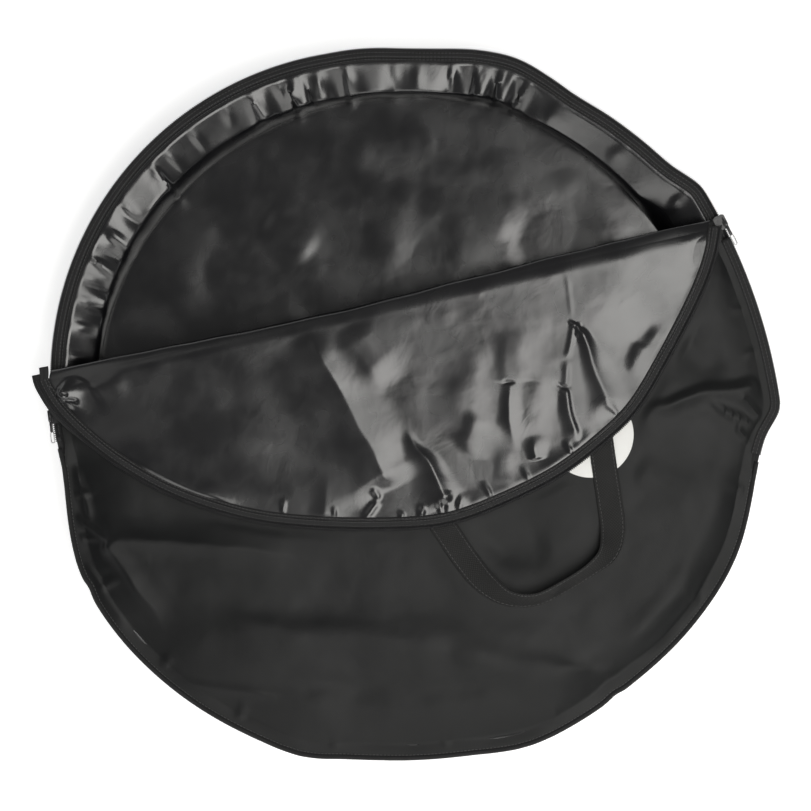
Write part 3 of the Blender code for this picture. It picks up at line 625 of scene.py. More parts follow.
@dataclass(frozen=True)
class FoldLine:
    """The level line that the front is folded on."""

    middle: Array
    along: Array
    down: Array
    height: float

    @classmethod
    def of_joint(cls, name: str) -> "FoldLine":
        """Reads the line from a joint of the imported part.

        Args:
            name: the joint's name.

        Returns:
            The line, with its down direction towards the flap's free edge.
        """
        joint = joint_with("name", name)
        along = -np.array(joint["axis"][:2])
        down = np.array((along[1], -along[0]))
        return cls(np.array(joint["pos_m"][:2]), along, down, joint["pos_m"][2])

    def plan(self, along: Array | float, down: Array | float) -> Array:
        """The plan point at a place along the line and below it."""
        along, down = np.broadcast_arrays(along, down)
        return self.middle + along[..., None] * self.along + down[..., None] * self.down

    def below(self, points: Array) -> Array:
        """How far plan points lie below the line."""
        return (points - self.middle) @ self.down

    def beside(self, points: Array) -> Array:
        """How far plan points lie along the line from its middle."""
        return (points - self.middle) @ self.along


@dataclass
class BagShape:
    """The outlines and heights that every sub-assembly shares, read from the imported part.

    The front's crown is narrow round one side of the rim and widens from there. Each of its two corners is
    sought between two angles.
    """

    front_crown_width: Plan = (0.0300, 0.0560)
    narrow_side: float = 10.0
    narrow_half_span: float = 40.0
    widening_span: float = 50.0
    front_margin: float = 0.0170
    seam_step: float = 0.0013
    corner_spans: tuple[Plan, Plan] = ((160.0, 190.0), (15.0, 45.0))
    corner_tries: int = 400
    zip_inset: float = 0.0088
    seam_inset: float = 0.0034
    zip_ends: Plan = (-8.0, 186.0)
    side_zip_end: float = 27.4
    seam_blend: float = 5.0
    cloth_thickness: float = 0.0010
    fold_front: float = 0.0100
    flap_front: float = 0.0114

    def __post_init__(self) -> None:
        """Reads the rim, the flap's edge, the fold and the layers' heights."""
        self.rim = Edge.of(("back_zip_coil", "edge_piping"), np.zeros(2), 0.0, 359.5)
        self.fold = FoldLine.of_joint("flap_fold")
        slant = math.degrees(math.atan2(self.fold.along[1], self.fold.along[0]))
        hub = self.fold.plan(0.0, self.fold_front)
        self.flap_span = (180.0 + slant, 360.0 + slant)
        self.flap = Edge.of(("flap_zip_coil",), hub, *self.flap_span)
        self.floor = level("back_panel")[0] + self.cloth_thickness / 2
        self.margin = self.under("back_zip_tape")
        self.crown = self.under("badge_disc")
        self.front_zip = self.under("side_zip_tape")
        self.front_seam = self.margin + self.seam_step
        self.flap_level = self.under("flap_zip_tape")
        self.corners = [self.fold_corner(*span) for span in self.corner_spans]

    def under(self, node: str) -> float:
        """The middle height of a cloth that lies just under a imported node."""
        return level(node)[0] - LAYER_GAP - self.cloth_thickness / 2

    def zip_share(self, angle: Array) -> Array:
        """Where the rim carries the zip.

        Args:
            angle: the angles round the rim, in degrees.

        Returns:
            For each angle 1 on the zip, 0 on the closed seam, and a share where one turns to the other.
        """
        angle = (np.asarray(angle) + 90.0) % 360.0 - 90.0
        right, left = self.zip_ends
        past = np.maximum(right - angle, angle - left)
        return 1.0 - smooth(past / self.seam_blend)

    def panel_inset(self, angle: Array) -> Array:
        """How far inside the rim the panels' edges lie."""
        return self.seam_inset + (self.zip_inset - self.seam_inset) * self.zip_share(angle)

    def inside(self, points: Array) -> Array:
        """How far plan points lie inside the rim, towards the bag's middle."""
        return self.rim.reach(bearing(points)) - np.hypot(points[..., 0], points[..., 1])

    def front_height(self, points: Array) -> Array:
        """The height of the front panel's smooth form.

        Args:
            points: plan points, in metres.

        Returns:
            A height for each point, in metres.
        """
        angle = bearing(points)
        right, left = self.front_crown_width
        off = np.abs((angle - self.narrow_side + 180.0) % 360.0 - 180.0) - self.narrow_half_span
        width = right + (left - right) * smooth(off / self.widening_span)
        share = np.clip((self.inside(points) - self.front_margin) / width, 0.0, 1.0)
        edge = self.front_seam + (self.front_zip - self.front_seam) * self.zip_share(angle)
        return edge + (self.crown - edge) * (1.0 - (1.0 - share) ** 2)

    def fold_corner(self, low: float, high: float) -> float:
        """The angle at which the front panel's edge meets the fold.

        Args:
            low: the lowest angle to try, in degrees.
            high: the highest.

        Returns:
            The angle, in degrees.
        """
        angles = np.linspace(low, high, self.corner_tries)
        edge = self.rim.point(angles, self.panel_inset(angles))
        return float(angles[np.argmin(np.abs(self.fold.below(edge) - self.fold_front))])


def mm_folds(*folds: tuple) -> list[Fold]:
    """Folds whose lengths are given in millimetres.

    Args:
        folds: for each its start, end, rise, left and right flank, and if need be its kind of flank, fan,
            bow and two fades.

    Returns:
        The folds.
    """
    plain = (Flank.CREASED, 0.0, 0.0, FOLD_FADE, FOLD_FADE)
    made = []
    for start, end, rise, left, right, *rest in folds:
        flank, fan, bow, fade_in, fade_out = (*rest, *plain[len(rest):])
        ends = [tuple(value * MILLIMETRE for value in place) for place in (start, end)]
        sizes = [value * MILLIMETRE for value in (rise, left, right)]
        made.append(Fold(ends[0], ends[1], *sizes, flank, fan, bow * MILLIMETRE, fade_in, fade_out))
    return made


def radial_gathers(edge: Edge, spots: Sequence[tuple[float, ...]], inset: float) -> list[Fold]:
    """Pleats that run inwards from a seam, where the cloth is eased on to its tape.

    Args:
        edge: the outline that the seam follows.
        spots: for each pleat its angle, then in millimetres its length, its rise, its left and
            right flank, and how far its inner end leans to the left.
        inset: how far inside the outline the pleats start, in metres.

    Returns:
        The pleats, each fanning out inwards.
    """
    made = []
    for angle, length, rise, left, right, lean in spots:
        start = edge.point(np.array(angle), inset)
        inward = edge.inward(np.array(angle))
        aside = np.array((-inward[1], inward[0]))
        end = start + (inward * length + aside * lean) * MILLIMETRE
        made.append(Fold(tuple(start), tuple(end), rise * MILLIMETRE, left * MILLIMETRE, right * MILLIMETRE,
                         Flank.CREASED, GATHER_FAN, 0.0, *GATHER_FADES))
    return made


@dataclass
class Part:
    """What every sub-assembly is built from: the bag's shape and the materials."""

    shape: BagShape
    finishes: "Finishes"


@dataclass
class BackPanel(Part):
    """The back of the bag: a floor, a wall that curls up round it, and the margin for the zip.

    Each stretch of slack lining has its middle and half width in degrees, and how slack it is. An ease is
    how far inside the rim the folds or the crumples start, and the width over which they come up.
    """

    columns: int = 640
    wall_rows: int = 34
    floor_rows: int = 92
    margin_rows: int = 5
    floor_radius: float = 0.312
    margin_width: float = 0.0158
    shelf_width: float = 0.0270
    slack_slope: float = 11.0
    tight_slope: float = 30.0
    shelf_share: float = 0.4
    shelf_limit_share: float = 0.84
    lip: float = 0.0070
    seam: float = 0.0120
    slack: tuple[tuple[float, float, float], ...] = (
        (95.6, 3.9, 1.0), (86.2, 5.6, 0.95), (105.0, 1.9, 0.8), (108.4, 1.5, 1.0), (115.6, 1.7, 0.6),
        (141.0, 4.2, 1.0), (149.0, 3.4, 0.95), (155.8, 2.6, 0.65), (161.2, 1.5, 0.6),
        (166.5, 2.0, 0.35), (76.4, 1.6, 0.9), (72.4, 1.5, 0.95), (64.0, 3.0, 0.3),
    )
    hub_radius: float = 0.003
    pleat_overlap: float = 0.004
    fold_ease: Plan = (0.012, 0.016)
    crumples: tuple[Noise, ...] = ((0.075, 3, 0.0011), (0.026, 4, 0.0002))
    crumple_ease: Plan = (0.020, 0.030)
    deepest: float = 0.0001
    wall_allowance: float = 0.030
    seam_allowance: float = 0.050

    def base(self) -> Array:
        """The panel's smooth form.

        Returns:
            Its points, in rows from the margin's edge to the floor's middle.
        """
        shape = self.shape
        angles = np.linspace(0.0, 360.0, self.columns, endpoint=False)
        rows = []
        edge = shape.panel_inset(angles)
        for share in np.linspace(0.0, 1.0, self.margin_rows, endpoint=False):
            inset = edge + (self.margin_width - edge) * share
            rows.append((shape.rim.point(angles, inset), shape.margin))
        rim = shape.rim.point(angles, self.margin_width)
        run = direction(angles) * self.floor_radius - rim
        reach = np.hypot(*run.T)
        for share in np.linspace(0.0, 1.0, self.wall_rows):
            inwards, down = self.wall_at(share, reach, shape.margin - shape.floor, angles)
            rows.append((rim + run * (inwards / reach)[:, None], shape.margin - down))
        for radius in np.linspace(self.floor_radius, self.hub_radius, self.floor_rows + 1)[1:]:
            rows.append((direction(angles) * radius, shape.floor))
        return np.array([np.column_stack([plan, np.full(len(plan), height)]) for plan, height in rows])

    def wall_at(self, share: float, reach: Array, drop: float, angles: Array) -> tuple[Array, Array]:
        """A place down the wall, which is a slope where slack lining lies, a lip, and a steep side.

        Args:
            share: how far down the wall, from 0 to 1.
            reach: how far the seam lies inside the margin at each angle.
            drop: how far the seam lies below the margin.
            angles: the places round the rim.

        Returns:
            How far inwards and how far down it is.
        """
        slope = np.radians(self.tight_slope + (self.slack_slope - self.tight_slope) * self.slack_at(angles))
        shelf = np.minimum(self.shelf_width, reach * self.shelf_limit_share)
        dip = shelf * np.tan(slope)
        if share < self.shelf_share:
            part = share / self.shelf_share
            return shelf * part, dip * part
        part = (share - self.shelf_share) / (1.0 - self.shelf_share)
        weights = ((1 - part) ** 3, 3 * part * (1 - part) ** 2, 3 * part**2 * (1 - part), part**3)
        across = (shelf, shelf + self.lip * np.cos(slope), reach, reach)
        below = (dip, dip + self.lip * np.sin(slope), drop - self.seam, drop)
        return sum(w * a for w, a in zip(weights, across)), sum(w * b for w, b in zip(weights, below))

    def slack_at(self, angles: Array) -> Array:
        """How slack the lining lies.

        Args:
            angles: the places round the rim, in degrees.

        Returns:
            A share for each angle, from 0 to 1.
        """
        total = np.zeros(len(angles))
        for middle, half_width, amount in self.slack:
            total = np.maximum(total, amount * np.exp(-np.abs((angles - middle) / half_width) ** 3))
        return total

    def folds(self) -> list[Fold]:
        """The folds in the lining, as the open mouth shows them.

        Returns:
            The pleats at the rim and the soft folds of the floor.
        """
        spots = (
            (91.5, 46, 1.6, 14, 12, 0), (100.4, 52, 3.4, 16, 4, 2), (104.6, 30, 3.0, 6, 4, 0),
            (109.4, 52, 3.6, 9, 4, -3), (111.6, 26, 2.0, 4, 6, 0), (117.0, 40, 2.6, 10, 6, 6),
            (121.5, 28, 1.5, 8, 8, 0), (128.0, 44, 2.2, 10, 8, 0), (133.5, 44, 2.4, 14, 7, 4),
            (136.5, 64, 3.6, 6, 16, -8), (144.5, 44, 2.8, 12, 6, -4), (149.5, 50, 3.0, 14, 6, -12),
            (154.8, 46, 3.6, 9, 6, -14), (158.4, 28, 2.6, 6, 6, -4), (162.0, 26, 2.4, 6, 5, -4),
            (166.5, 30, 2.4, 7, 7, 0), (172.0, 26, 2.0, 6, 6, 0), (87.6, 40, 1.8, 14, 10, 0),
            (82.6, 40, 2.4, 10, 6, 3), (78.0, 30, 2.6, 5, 4, 0), (73.8, 38, 3.2, 9, 4, 0),
            (71.8, 24, 2.2, 4, 4, 2), (68.6, 50, 3.8, 14, 3, 0), (62.6, 40, 1.4, 20, 18, 6),
            (50.0, 36, 1.4, 18, 18, 0), (38.0, 36, 1.6, 16, 14, 0), (28.0, 30, 1.4, 14, 14, 0),
        )
        pleats = radial_gathers(self.shape.rim, spots, self.margin_width - self.pleat_overlap)
        soft = (
            ((-142, 190), (-92, 152), 1.5, 26, 22), ((10, 210), (120, 172), 1.6, 30, 26),
            ((40, 160), (124, 150), 1.0, 20, 22), ((-236, 112), (-196, 196), 1.2, 26, 26),
            ((-70, 258), (50, 268), 1.3, 26, 30), ((150, 250), (240, 150), 1.2, 28, 28),
            ((-190, 70), (-100, 104), 1.0, 28, 30), ((-30, 130), (12, 236), 0.9, 28, 30),
            ((-160, -60), (90, -120), 2.5, 30, 44), ((-60, 60), (150, 20), 2.5, 26, 40),
        )
        return pleats + mm_folds(*((*fold, Flank.ROUNDED) for fold in soft))

    def build(self) -> None:
        """Builds the panel with its folds and dresses both sides."""
        grid = self.base()
        plan = grid[..., :2]
        inside = self.shape.inside(plan)
        start, width = self.fold_ease
        ease = smooth((inside - start) / width)
        start, width = self.crumple_ease
        height = relief(plan, self.folds())
        height += crumple(plan, *self.crumples) * smooth((inside - start) / width)
        rise = np.maximum(height * ease, -self.deepest)
        grid = grid + normals(grid, True) * rise[..., None]
        grid[..., 2] = np.maximum(grid[..., 2], self.shape.floor)
        made = cloth("back_cloth", grid, grid[..., :2], True, self.shape.cloth_thickness)
        # The floor's last ring is closed with one face.
        hub = bmesh.new()
        hub.from_mesh(made.data)
        hub.verts.ensure_lookup_table()
        last = grid.shape[0] * self.columns
        hub.faces.new([hub.verts[index] for index in range(last - self.columns, last)])
        hub.to_mesh(made.data)
        hub.free()
        self.finishes.dress(made, self.finishes.lining, self.finishes.coated)
        apply_modifiers(made)
        hang(made, "bag", "coated_fabric", "back_panel")
        width = 2.0 * float(np.abs(grid[..., 0]).max() + self.wall_allowance) + self.seam_allowance


@dataclass
class FrontPanel(Part):
    """The front of the bag below the fold, matt side out.

    A clearance is how far off the cloth still lies flat, and the width over which its folds then come up.
    """

    columns: int = 330
    rows: int = 170
    row_power: float = 1.15
    gather_overlap: float = 0.005
    flap_clearance: Plan = (0.001, 0.012)
    strap_clearance: Plan = (0.014, 0.022)
    badge_ease: float = 0.020
    rim_clearance: Plan = (0.001, 0.014)
    fold_ease: float = 0.030
    crumples: tuple[Noise, ...] = ((0.095, 11, 0.0024), (0.034, 12, 0.0005), (0.013, 13, 0.0001))
    held_share: float = 0.25
    seam_allowance: float = 0.010

    def base(self) -> Array:
        """The panel's smooth form.

        Returns:
            Its points, in rows from the fold to the rim.
        """
        shape = self.shape
        left, right = shape.corners
        shares = np.linspace(0.0, 1.0, self.columns)
        angles = left + (right + 360.0 - left) * shares
        edge = shape.rim.point(angles, shape.panel_inset(angles))
        top = edge[0] + (edge[-1] - edge[0]) * shares[:, None]
        down = 1.0 - (1.0 - np.linspace(0.0, 1.0, self.rows)) ** self.row_power
        plan = top[None] + (edge - top)[None] * down[:, None, None]
        return np.concatenate([plan, shape.front_height(plan)[..., None]], -1)

    def folds(self) -> list[Fold]:
        """The folds below the flap and at the panel's right corner.

        Returns:
            The folds, and the gathers along the lower seam.
        """
        lower = mm_folds(
            ((-306, -133), (-80, -156), 6.8, 30, 25, Flank.CREASED, 0.1, 4, 0.05, 0.6),
            ((-300, -134), (-232, -236), 4.0, 24, 18, Flank.CREASED, 0.3, 0, 0.06, 0.5),
            ((-270, -186), (-60, -206), -1.5, 22, 24, Flank.ROUNDED, 0.0, -8),
            ((-235, -208), (101, -230), 4.2, 24, 30, Flank.ROUNDED, 0.0, -14),
            ((-190, -262), (130, -272), -3.0, 18, 22, Flank.ROUNDED, 0.0, -16),
            ((40, -239), (190, -268), 3.8, 20, 26, Flank.ROUNDED, 0.0, -8),
            ((-330, -58), (-312, -120), 3.0, 8, 12, Flank.CREASED, 0.2),
            ((-333, -108), (-296, -134), 3.2, 6, 9), ((-322, -160), (-300, -182), 2.6, 6, 7),
            ((-318, -172), (-280, -226), 2.2, 10, 12, Flank.ROUNDED),
            ((60, -150), (150, -138), -3.0, 22, 26, Flank.ROUNDED),
            ((205, -250), (300, -150), 3.4, 20, 24, Flank.ROUNDED, 0.0, -8),
            ((222, -60), (300, -96), 2.4, 26, 22, Flank.ROUNDED),
            ((250, 90), (318, 20), -2.6, 20, 24, Flank.ROUNDED),
            ((229, -8), (356, 20), 5.4, 12, 24, Flank.CREASED, 0.45, 4, 0.35, 0.12),
            ((300, 6), (350, -26), 3.6, 9, 6, Flank.CREASED, 0.2, 0, 0.4, 0.1),
            ((328, 14), (357, -24), 4.2, 5, 5, Flank.CREASED, 0.0, 3, 0.3, 0.12),
            ((330, -20), (350, -38), 3.6, 6, 4, Flank.CREASED, 0.0, -3, 0.3, 0.15),
            ((-225, -276), (-120, -292), 1.6, 8, 12), ((150, -258), (215, -268), 1.2, 5, 8),
        )
        spots = (
            (9, 26, 2.0, 6, 7, 2), (16, 22, 1.6, 7, 6, 0), (-14, 26, 1.8, 8, 7, 0), (-34, 30, 1.5, 9, 10, 0),
            (-64, 26, 1.4, 9, 8, 3), (-83, 30, 1.4, 10, 9, -3), (-101, 22, 1.2, 7, 8, 0),
            (-118, 30, 1.6, 11, 9, 4), (-133, 24, 1.6, 8, 9, 0), (-149, 30, 2.2, 9, 8, 4),
            (-158, 24, 2.4, 6, 7, -3), (-165, 26, 2.2, 7, 6, 0),
        )
        return lower + radial_gathers(self.shape.rim, spots, self.shape.seam_inset + self.gather_overlap)

    def open_share(self, plan: Array) -> Array:
        """How free the cloth is to rise, clear of what lies on it.

        Args:
            plan: plan points of the panel.

        Returns:
            A share for each point: 0 below the flap, the strap and the badge, and 1 clear of them.
        """
        shape = self.shape
        first, last = shape.flap_span
        away = plan - shape.flap.centre
        angle = (bearing(away) - first) % 360.0 + first
        beyond = np.hypot(away[..., 0], away[..., 1]) - shape.flap.reach(np.minimum(angle, last))
        beyond = np.where(angle > last, -1.0, beyond)
        strap = Handle(shape, self.finishes).line()[:, :2]
        gap = np.full(plan.shape[:-1], np.inf)
        for start, end in zip(strap, strap[1:]):
            run = end - start
            share = np.clip(((plan - start) @ run) / (run @ run), 0.0, 1.0)
            gap = np.minimum(gap, np.linalg.norm(plan - start - share[..., None] * run, axis=-1))
        strap_clear = smooth((gap - self.strap_clearance[0]) / self.strap_clearance[1])
        badge_clear = smooth((np.linalg.norm(plan - BADGE_PLACE, axis=-1) - BADGE_RADIUS) / self.badge_ease)
        return smooth((beyond - self.flap_clearance[0]) / self.flap_clearance[1]) * strap_clear * badge_clear

    def build(self) -> None:
        """Builds the panel with its folds and dresses both sides."""
        grid = self.base()[::-1]
        plan = grid[..., :2]
        shape = self.shape
        inside = shape.inside(plan) - shape.panel_inset(bearing(plan))
        ease = smooth((inside - self.rim_clearance[0]) / self.rim_clearance[1])
        ease = ease * smooth((shape.fold.below(plan) - shape.fold_front) / self.fold_ease)
        height = relief(plan, self.folds()) + crumple(plan, *self.crumples)
        free = self.open_share(plan)
        sunk = self.held_share + (1.0 - self.held_share) * free
        height = np.where(height > 0.0, height * free, height * sunk)
        grid = grid + normals(grid) * (height * ease)[..., None]
        made = cloth("front_cloth", grid, plan, False, shape.cloth_thickness)
        self.finishes.dress(made, self.finishes.coated, self.finishes.lining)
        apply_modifiers(made)
        hang(made, "bag", "coated_fabric", "front_panel")


@dataclass
class Flap(Part):
    """The top of the front, folded down over the rest with its shiny lining up.

    The cloth arches up near the fold and bends down into the roll, which is fullest left of its middle.
    The right half has finer crumples than the left. An ease is how far outside the edge the folds still
    reach, and the width over which they come up.
    """

    columns: int = 560
    rows: int = 200
    arch: float = 0.0062
    arch_depth: float = 0.190
    arch_power: float = 1.5
    arch_ease: float = 0.080
    end_margin: float = 2.6
    wrap: float = 5.0
    panel_inset: float = 0.0092
    bend_depth: float = 0.0020
    bend_width: float = 0.0110
    roll_reach: float = 0.0092
    roll_slack: float = 0.0064
    slack_place: float = -0.050
    slack_spread: float = 0.200
    roll_start: float = -90.0
    roll_end: float = 68.0
    roll_rows: int = 21
    roll_waver: Noise = (0.050, 31, 0.0008)
    roll_length: float = 0.030
    hem_rise: float = 0.0001
    hem_width: float = 0.0030
    hem_waver: Noise = (0.060, 24, 1.0)
    hem_share: float = 0.8
    gather_overlap: float = 0.003
    left_end: float = 0.060
    left_ease: float = 0.120
    soft_crumple: Noise = (0.095, 21, 0.0004)
    middle_crumple: Noise = (0.032, 22, 0.0001)
    fine_crumple: Noise = (0.014, 23, 0.00006)
    edge_ease: Plan = (0.001, 0.010)
    fold_ease: Plan = (0.001, 0.020)
    least_room: float = 0.0001
    seam_allowance: float = 0.010

    def base(self) -> Array:
        """The flap's smooth form.

        Returns:
            Its points, in rows from the fold to the flap's edge.
        """
        shape = self.shape
        first, last = shape.flap_span
        angles = np.linspace(first + self.end_margin, last - self.end_margin, self.columns)
        edge = shape.flap.point(angles, self.panel_inset)
        beside = shape.fold.beside(edge)
        reach = np.linspace(beside[0], beside[-1], self.columns)
        top = shape.fold.plan(reach, shape.flap_front)
        share = np.linspace(0.0, 1.0, self.rows)[:, None]
        plan = top[None] + (edge - top)[None] * share[..., None]
        bend = 1.0 - np.clip((shape.fold.below(plan) - shape.flap_front) / self.bend_width, 0.0, 1.0)
        height = shape.flap_level + self.rise(plan) - self.bend_depth * bend**2
        return np.concatenate([plan, height[..., None]], -1)

    def rise(self, plan: Array) -> Array:
        """How far the flap stands above its flat place, highest near the fold.

        Args:
            plan: plan points of the flap.

        Returns:
            A height for each point, in metres.
        """
        below = self.shape.fold.below(plan) - self.shape.flap_front
        depth = np.clip(below / self.arch_depth, 0.0, 1.0)
        return self.arch * (1.0 - depth) ** self.arch_power * smooth(self.within(plan) / self.arch_ease)

    def within(self, plan: Array) -> Array:
        """How far plan points lie inside the flap's cut edge.

        Args:
            plan: plan points of the flap.

        Returns:
            A distance for each point, in metres.
        """
        away = plan - self.shape.flap.centre
        first = self.shape.flap_span[0]
        angle = (bearing(away) - first + self.wrap) % 360.0 + first - self.wrap
        angle = np.clip(angle, *self.shape.flap_span)
        radial = self.shape.flap.reach(angle) - np.hypot(away[..., 0], away[..., 1])
        slope = np.abs((self.shape.flap.inward(angle) * -direction(angle)).sum(-1))
        return radial * slope - self.panel_inset

    def folds(self) -> list[Fold]:
        """The creases and gathers of the shiny side.

        Returns:
            The folds.
        """
        creases = mm_folds(
            ((-98, 74), (-10, -86), 5.0, 52, 90, Flank.CREASED, 0.35, 0, 0.2, 0.12),
            ((-62, 78), (-14, 16), 2.2, 42, 20, Flank.ROUNDED, 0.3, 0, 0.3, 0.4),
            ((-2, -24), (43, -99), 4.2, 26, 40, Flank.CREASED, 0.85, 3, 0.55, 0.12),
            ((44, -82), (45, -112), 1.5, 14, 9, Flank.CREASED, -0.4, 0, 0.4, 0.1),
            ((58, -84), (56, -110), 1.6, 8, 5, Flank.CREASED, -0.3, 0, 0.5, 0.1),
            ((-84, -122), (-74, -64), 1.7, 22, 40, Flank.CREASED, 0.3, 0, 0.06, 0.7),
            ((-36, -84), (-25, -98), 1.4, 6, 6, Flank.CREASED, 0.0, 2, 0.4, 0.3),
            ((-25, -97), (-40, -118), 1.5, 6, 8, Flank.CREASED, 0.0, -2, 0.3, 0.1),
            ((-4, -118), (-3, -104), 2.2, 4, 4, Flank.CREASED, 0.3, 0, 0.1, 0.6),
            ((14, -116), (17, -96), 2.4, 6, 5, Flank.CREASED, 0.3, 0, 0.1, 0.6),
            ((104, 84), (102, 22), 0.8, 22, 13, Flank.ROUNDED, 0.0, 0, 0.6, 0.05),
            ((103, 24), (112, -48), 1.5, 20, 16, Flank.CREASED, 0.4, -3, 0.05, 0.5),
            ((95, 25), (109, 21), -0.9, 3, 4, Flank.CREASED, 0.0, 0, 0.4, 0.4),
            ((120, 80), (116, 20), 0.3, 14, 12, Flank.ROUNDED),
            ((134, 40), (128, -30), 0.4, 16, 14, Flank.ROUNDED),
            ((156, 134), (168, 86), 0.25, 3, 3, Flank.CREASED, 0.0, 2, 0.4, 0.2),
            ((169, 84), (160, 46), 0.7, 4, 4, Flank.CREASED, 0.0, 0, 0.1, 0.3),
            ((160, 48), (159, 14), 0.8, 4, 5, Flank.CREASED, 0.0, 1, 0.4, 0.2),
            ((159, 17), (173, -40), 1.8, 6, 18, Flank.CREASED, 0.6, 0, 0.1, 0.3),
            ((148, 22), (164, 12), -1.0, 4, 4, Flank.CREASED, 0.0, 0, 0.4, 0.3),
            ((164, 86), (180, 68), 1.3, 3, 3, Flank.CREASED, 0.0, 0, 0.3, 0.4),
            ((174, 84), (170, 66), 1.0, 3, 3, Flank.CREASED, 0.0, 0, 0.3, 0.3),
            ((174, 78), (207, -14), 3.2, 30, 27, Flank.CREASED, 0.8, 1, 0.1, 0.22),
            ((264, 80), (216, 26), 1.5, 26, 15, Flank.ROUNDED, 0.2, 0, 0.3, 0.5),
            ((234, 64), (226, 30), 0.9, 10, 8, Flank.ROUNDED),
            ((300, 182), (291, 134), -1.2, 5, 8, Flank.ROUNDED, 0.0, 0, 0.4, 0.3),
            ((236, 118), (212, 96), 0.15, 5, 5), ((252, 152), (228, 128), 0.15, 4, 5),
            ((70, 70), (56, -30), 0.8, 26, 26, Flank.ROUNDED),
            ((80, -8), (58, -50), 1.4, 24, 18, Flank.ROUNDED),
            ((100, -42), (97, -80), 0.7, 14, 12, Flank.ROUNDED, 0.0, 0, 0.4, 0.2),
            ((128, -30), (132, -56), 2.0, 12, 9, Flank.CREASED, -0.5, 0, 0.6, 0.1),
            ((62, -112), (198, -36), 2.2, 24, 5, Flank.CREASED, 0.0, -4, 0.12, 0.12),
            ((-332, 36), (-352, 2), 8.0, 42, 8, Flank.CREASED, 0.0, 0, 0.15, 0.3),
            ((-349, 16), (-336, 10), -1.8, 3, 4, Flank.CREASED, 0.2),
            ((-343, 7), (-324, 3), -1.8, 4, 4, Flank.CREASED, 0.3),
            ((-312, 12), (-272, 30), 1.6, 12, 16, Flank.ROUNDED, 0.0, 0, 0.2, 0.5),
            ((-290, -42), (-160, -107), 3.0, 20, 11, Flank.ROUNDED, 0.0, -7, 0.3, 0.3),
        )
        spots = (
            (258.0, 14, 1.4, 4, 4, 0), (246.0, 18, 1.2, 6, 5, 2), (285.5, 20, 1.4, 6, 6, 0),
            (299.0, 22, 1.2, 7, 6, 3), (309.0, 18, 1.0, 6, 6, 0), (321.0, 20, 1.1, 7, 7, -3),
            (334.0, 20, 1.0, 7, 7, 0),
        )
        return creases + radial_gathers(self.shape.flap, spots, self.panel_inset + self.gather_overlap)

    def build(self) -> None:
        """Builds the flap with its folds, dresses both sides and adds the roll."""
        grid = self.base()
        plan = grid[..., :2]
        shape = self.shape
        below = shape.fold.below(plan) - shape.flap_front
        within = self.within(plan)
        right_half = smooth((shape.fold.beside(plan) + self.left_end) / self.left_ease)
        grain, seed, size = self.middle_crumple
        height = relief(plan, self.folds())
        height += crumple(plan, self.soft_crumple, (grain, seed, size + size * right_half))
        height += crumple(plan, self.fine_crumple) * right_half
        ease = smooth((within + self.edge_ease[0]) / self.edge_ease[1])
        ease = ease * smooth((below + self.fold_ease[0]) / self.fold_ease[1])
        height = np.maximum(height * ease, -(self.rise(plan) + self.least_room))
        hem = np.clip(within, 0.0, 1.0) / self.hem_width
        height += self.hem_rise * (self.hem_share + crumple(plan, self.hem_waver)) * hem * np.exp(1.0 - hem)
        grid = grid + UP * height[..., None]
        made = cloth("flap_cloth", grid, plan, False, shape.cloth_thickness)
        self.finishes.dress(made, self.finishes.coated, self.finishes.lining)
        apply_modifiers(made)
        hang(made, "flap", "glossy_lining", "flap_panel")
        self.build_roll()

    def build_roll(self) -> None:
        """Builds the bend of cloth that joins the front to the flap."""
        shape = self.shape
        upper_line = self.base()[0]
        corners = [shape.rim.point(np.array(angle), shape.panel_inset(angle)) for angle in shape.corners]
        reach = np.linspace(*(shape.fold.beside(corner) for corner in corners), self.columns)
        lower_plan = shape.fold.plan(reach, shape.fold_front)
        lower_line = np.column_stack([lower_plan, shape.front_height(lower_plan)])
        turns = np.radians(np.linspace(self.roll_start, self.roll_end, self.roll_rows))
        top = math.radians(self.roll_end)
        slack = np.exp(-((reach - self.slack_place) / self.slack_spread) ** 2)
        reaches = self.roll_reach - self.roll_slack * slack
        reaches += crumple(np.stack([reach, reach * 0.0], -1), self.roll_waver)
        peak = float((np.cos(turns) - math.cos(top) * (np.sin(turns) + 1.0) / (math.sin(top) + 1.0)).max())
        rows = []
        for turn in turns:
            share = (math.sin(turn) + 1.0) / (math.sin(top) + 1.0)
            row = lower_line + (upper_line - lower_line) * share
            out = reaches * (math.cos(turn) - math.cos(top) * share) / peak
            rows.append(row - np.column_stack([out[:, None] * shape.fold.down, np.zeros(len(out))]))
        roll = np.array(rows)
        along = np.broadcast_to(reach, roll.shape[:2])
        around = np.broadcast_to((turns * self.roll_reach)[:, None], roll.shape[:2])
        made = cloth("fold_roll", roll, np.stack([along, around], -1), False, shape.cloth_thickness)
        self.finishes.dress(made, self.finishes.coated, self.finishes.lining)
        apply_modifiers(made)
        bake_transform(made)
        LOG.info("built %s", made.name)


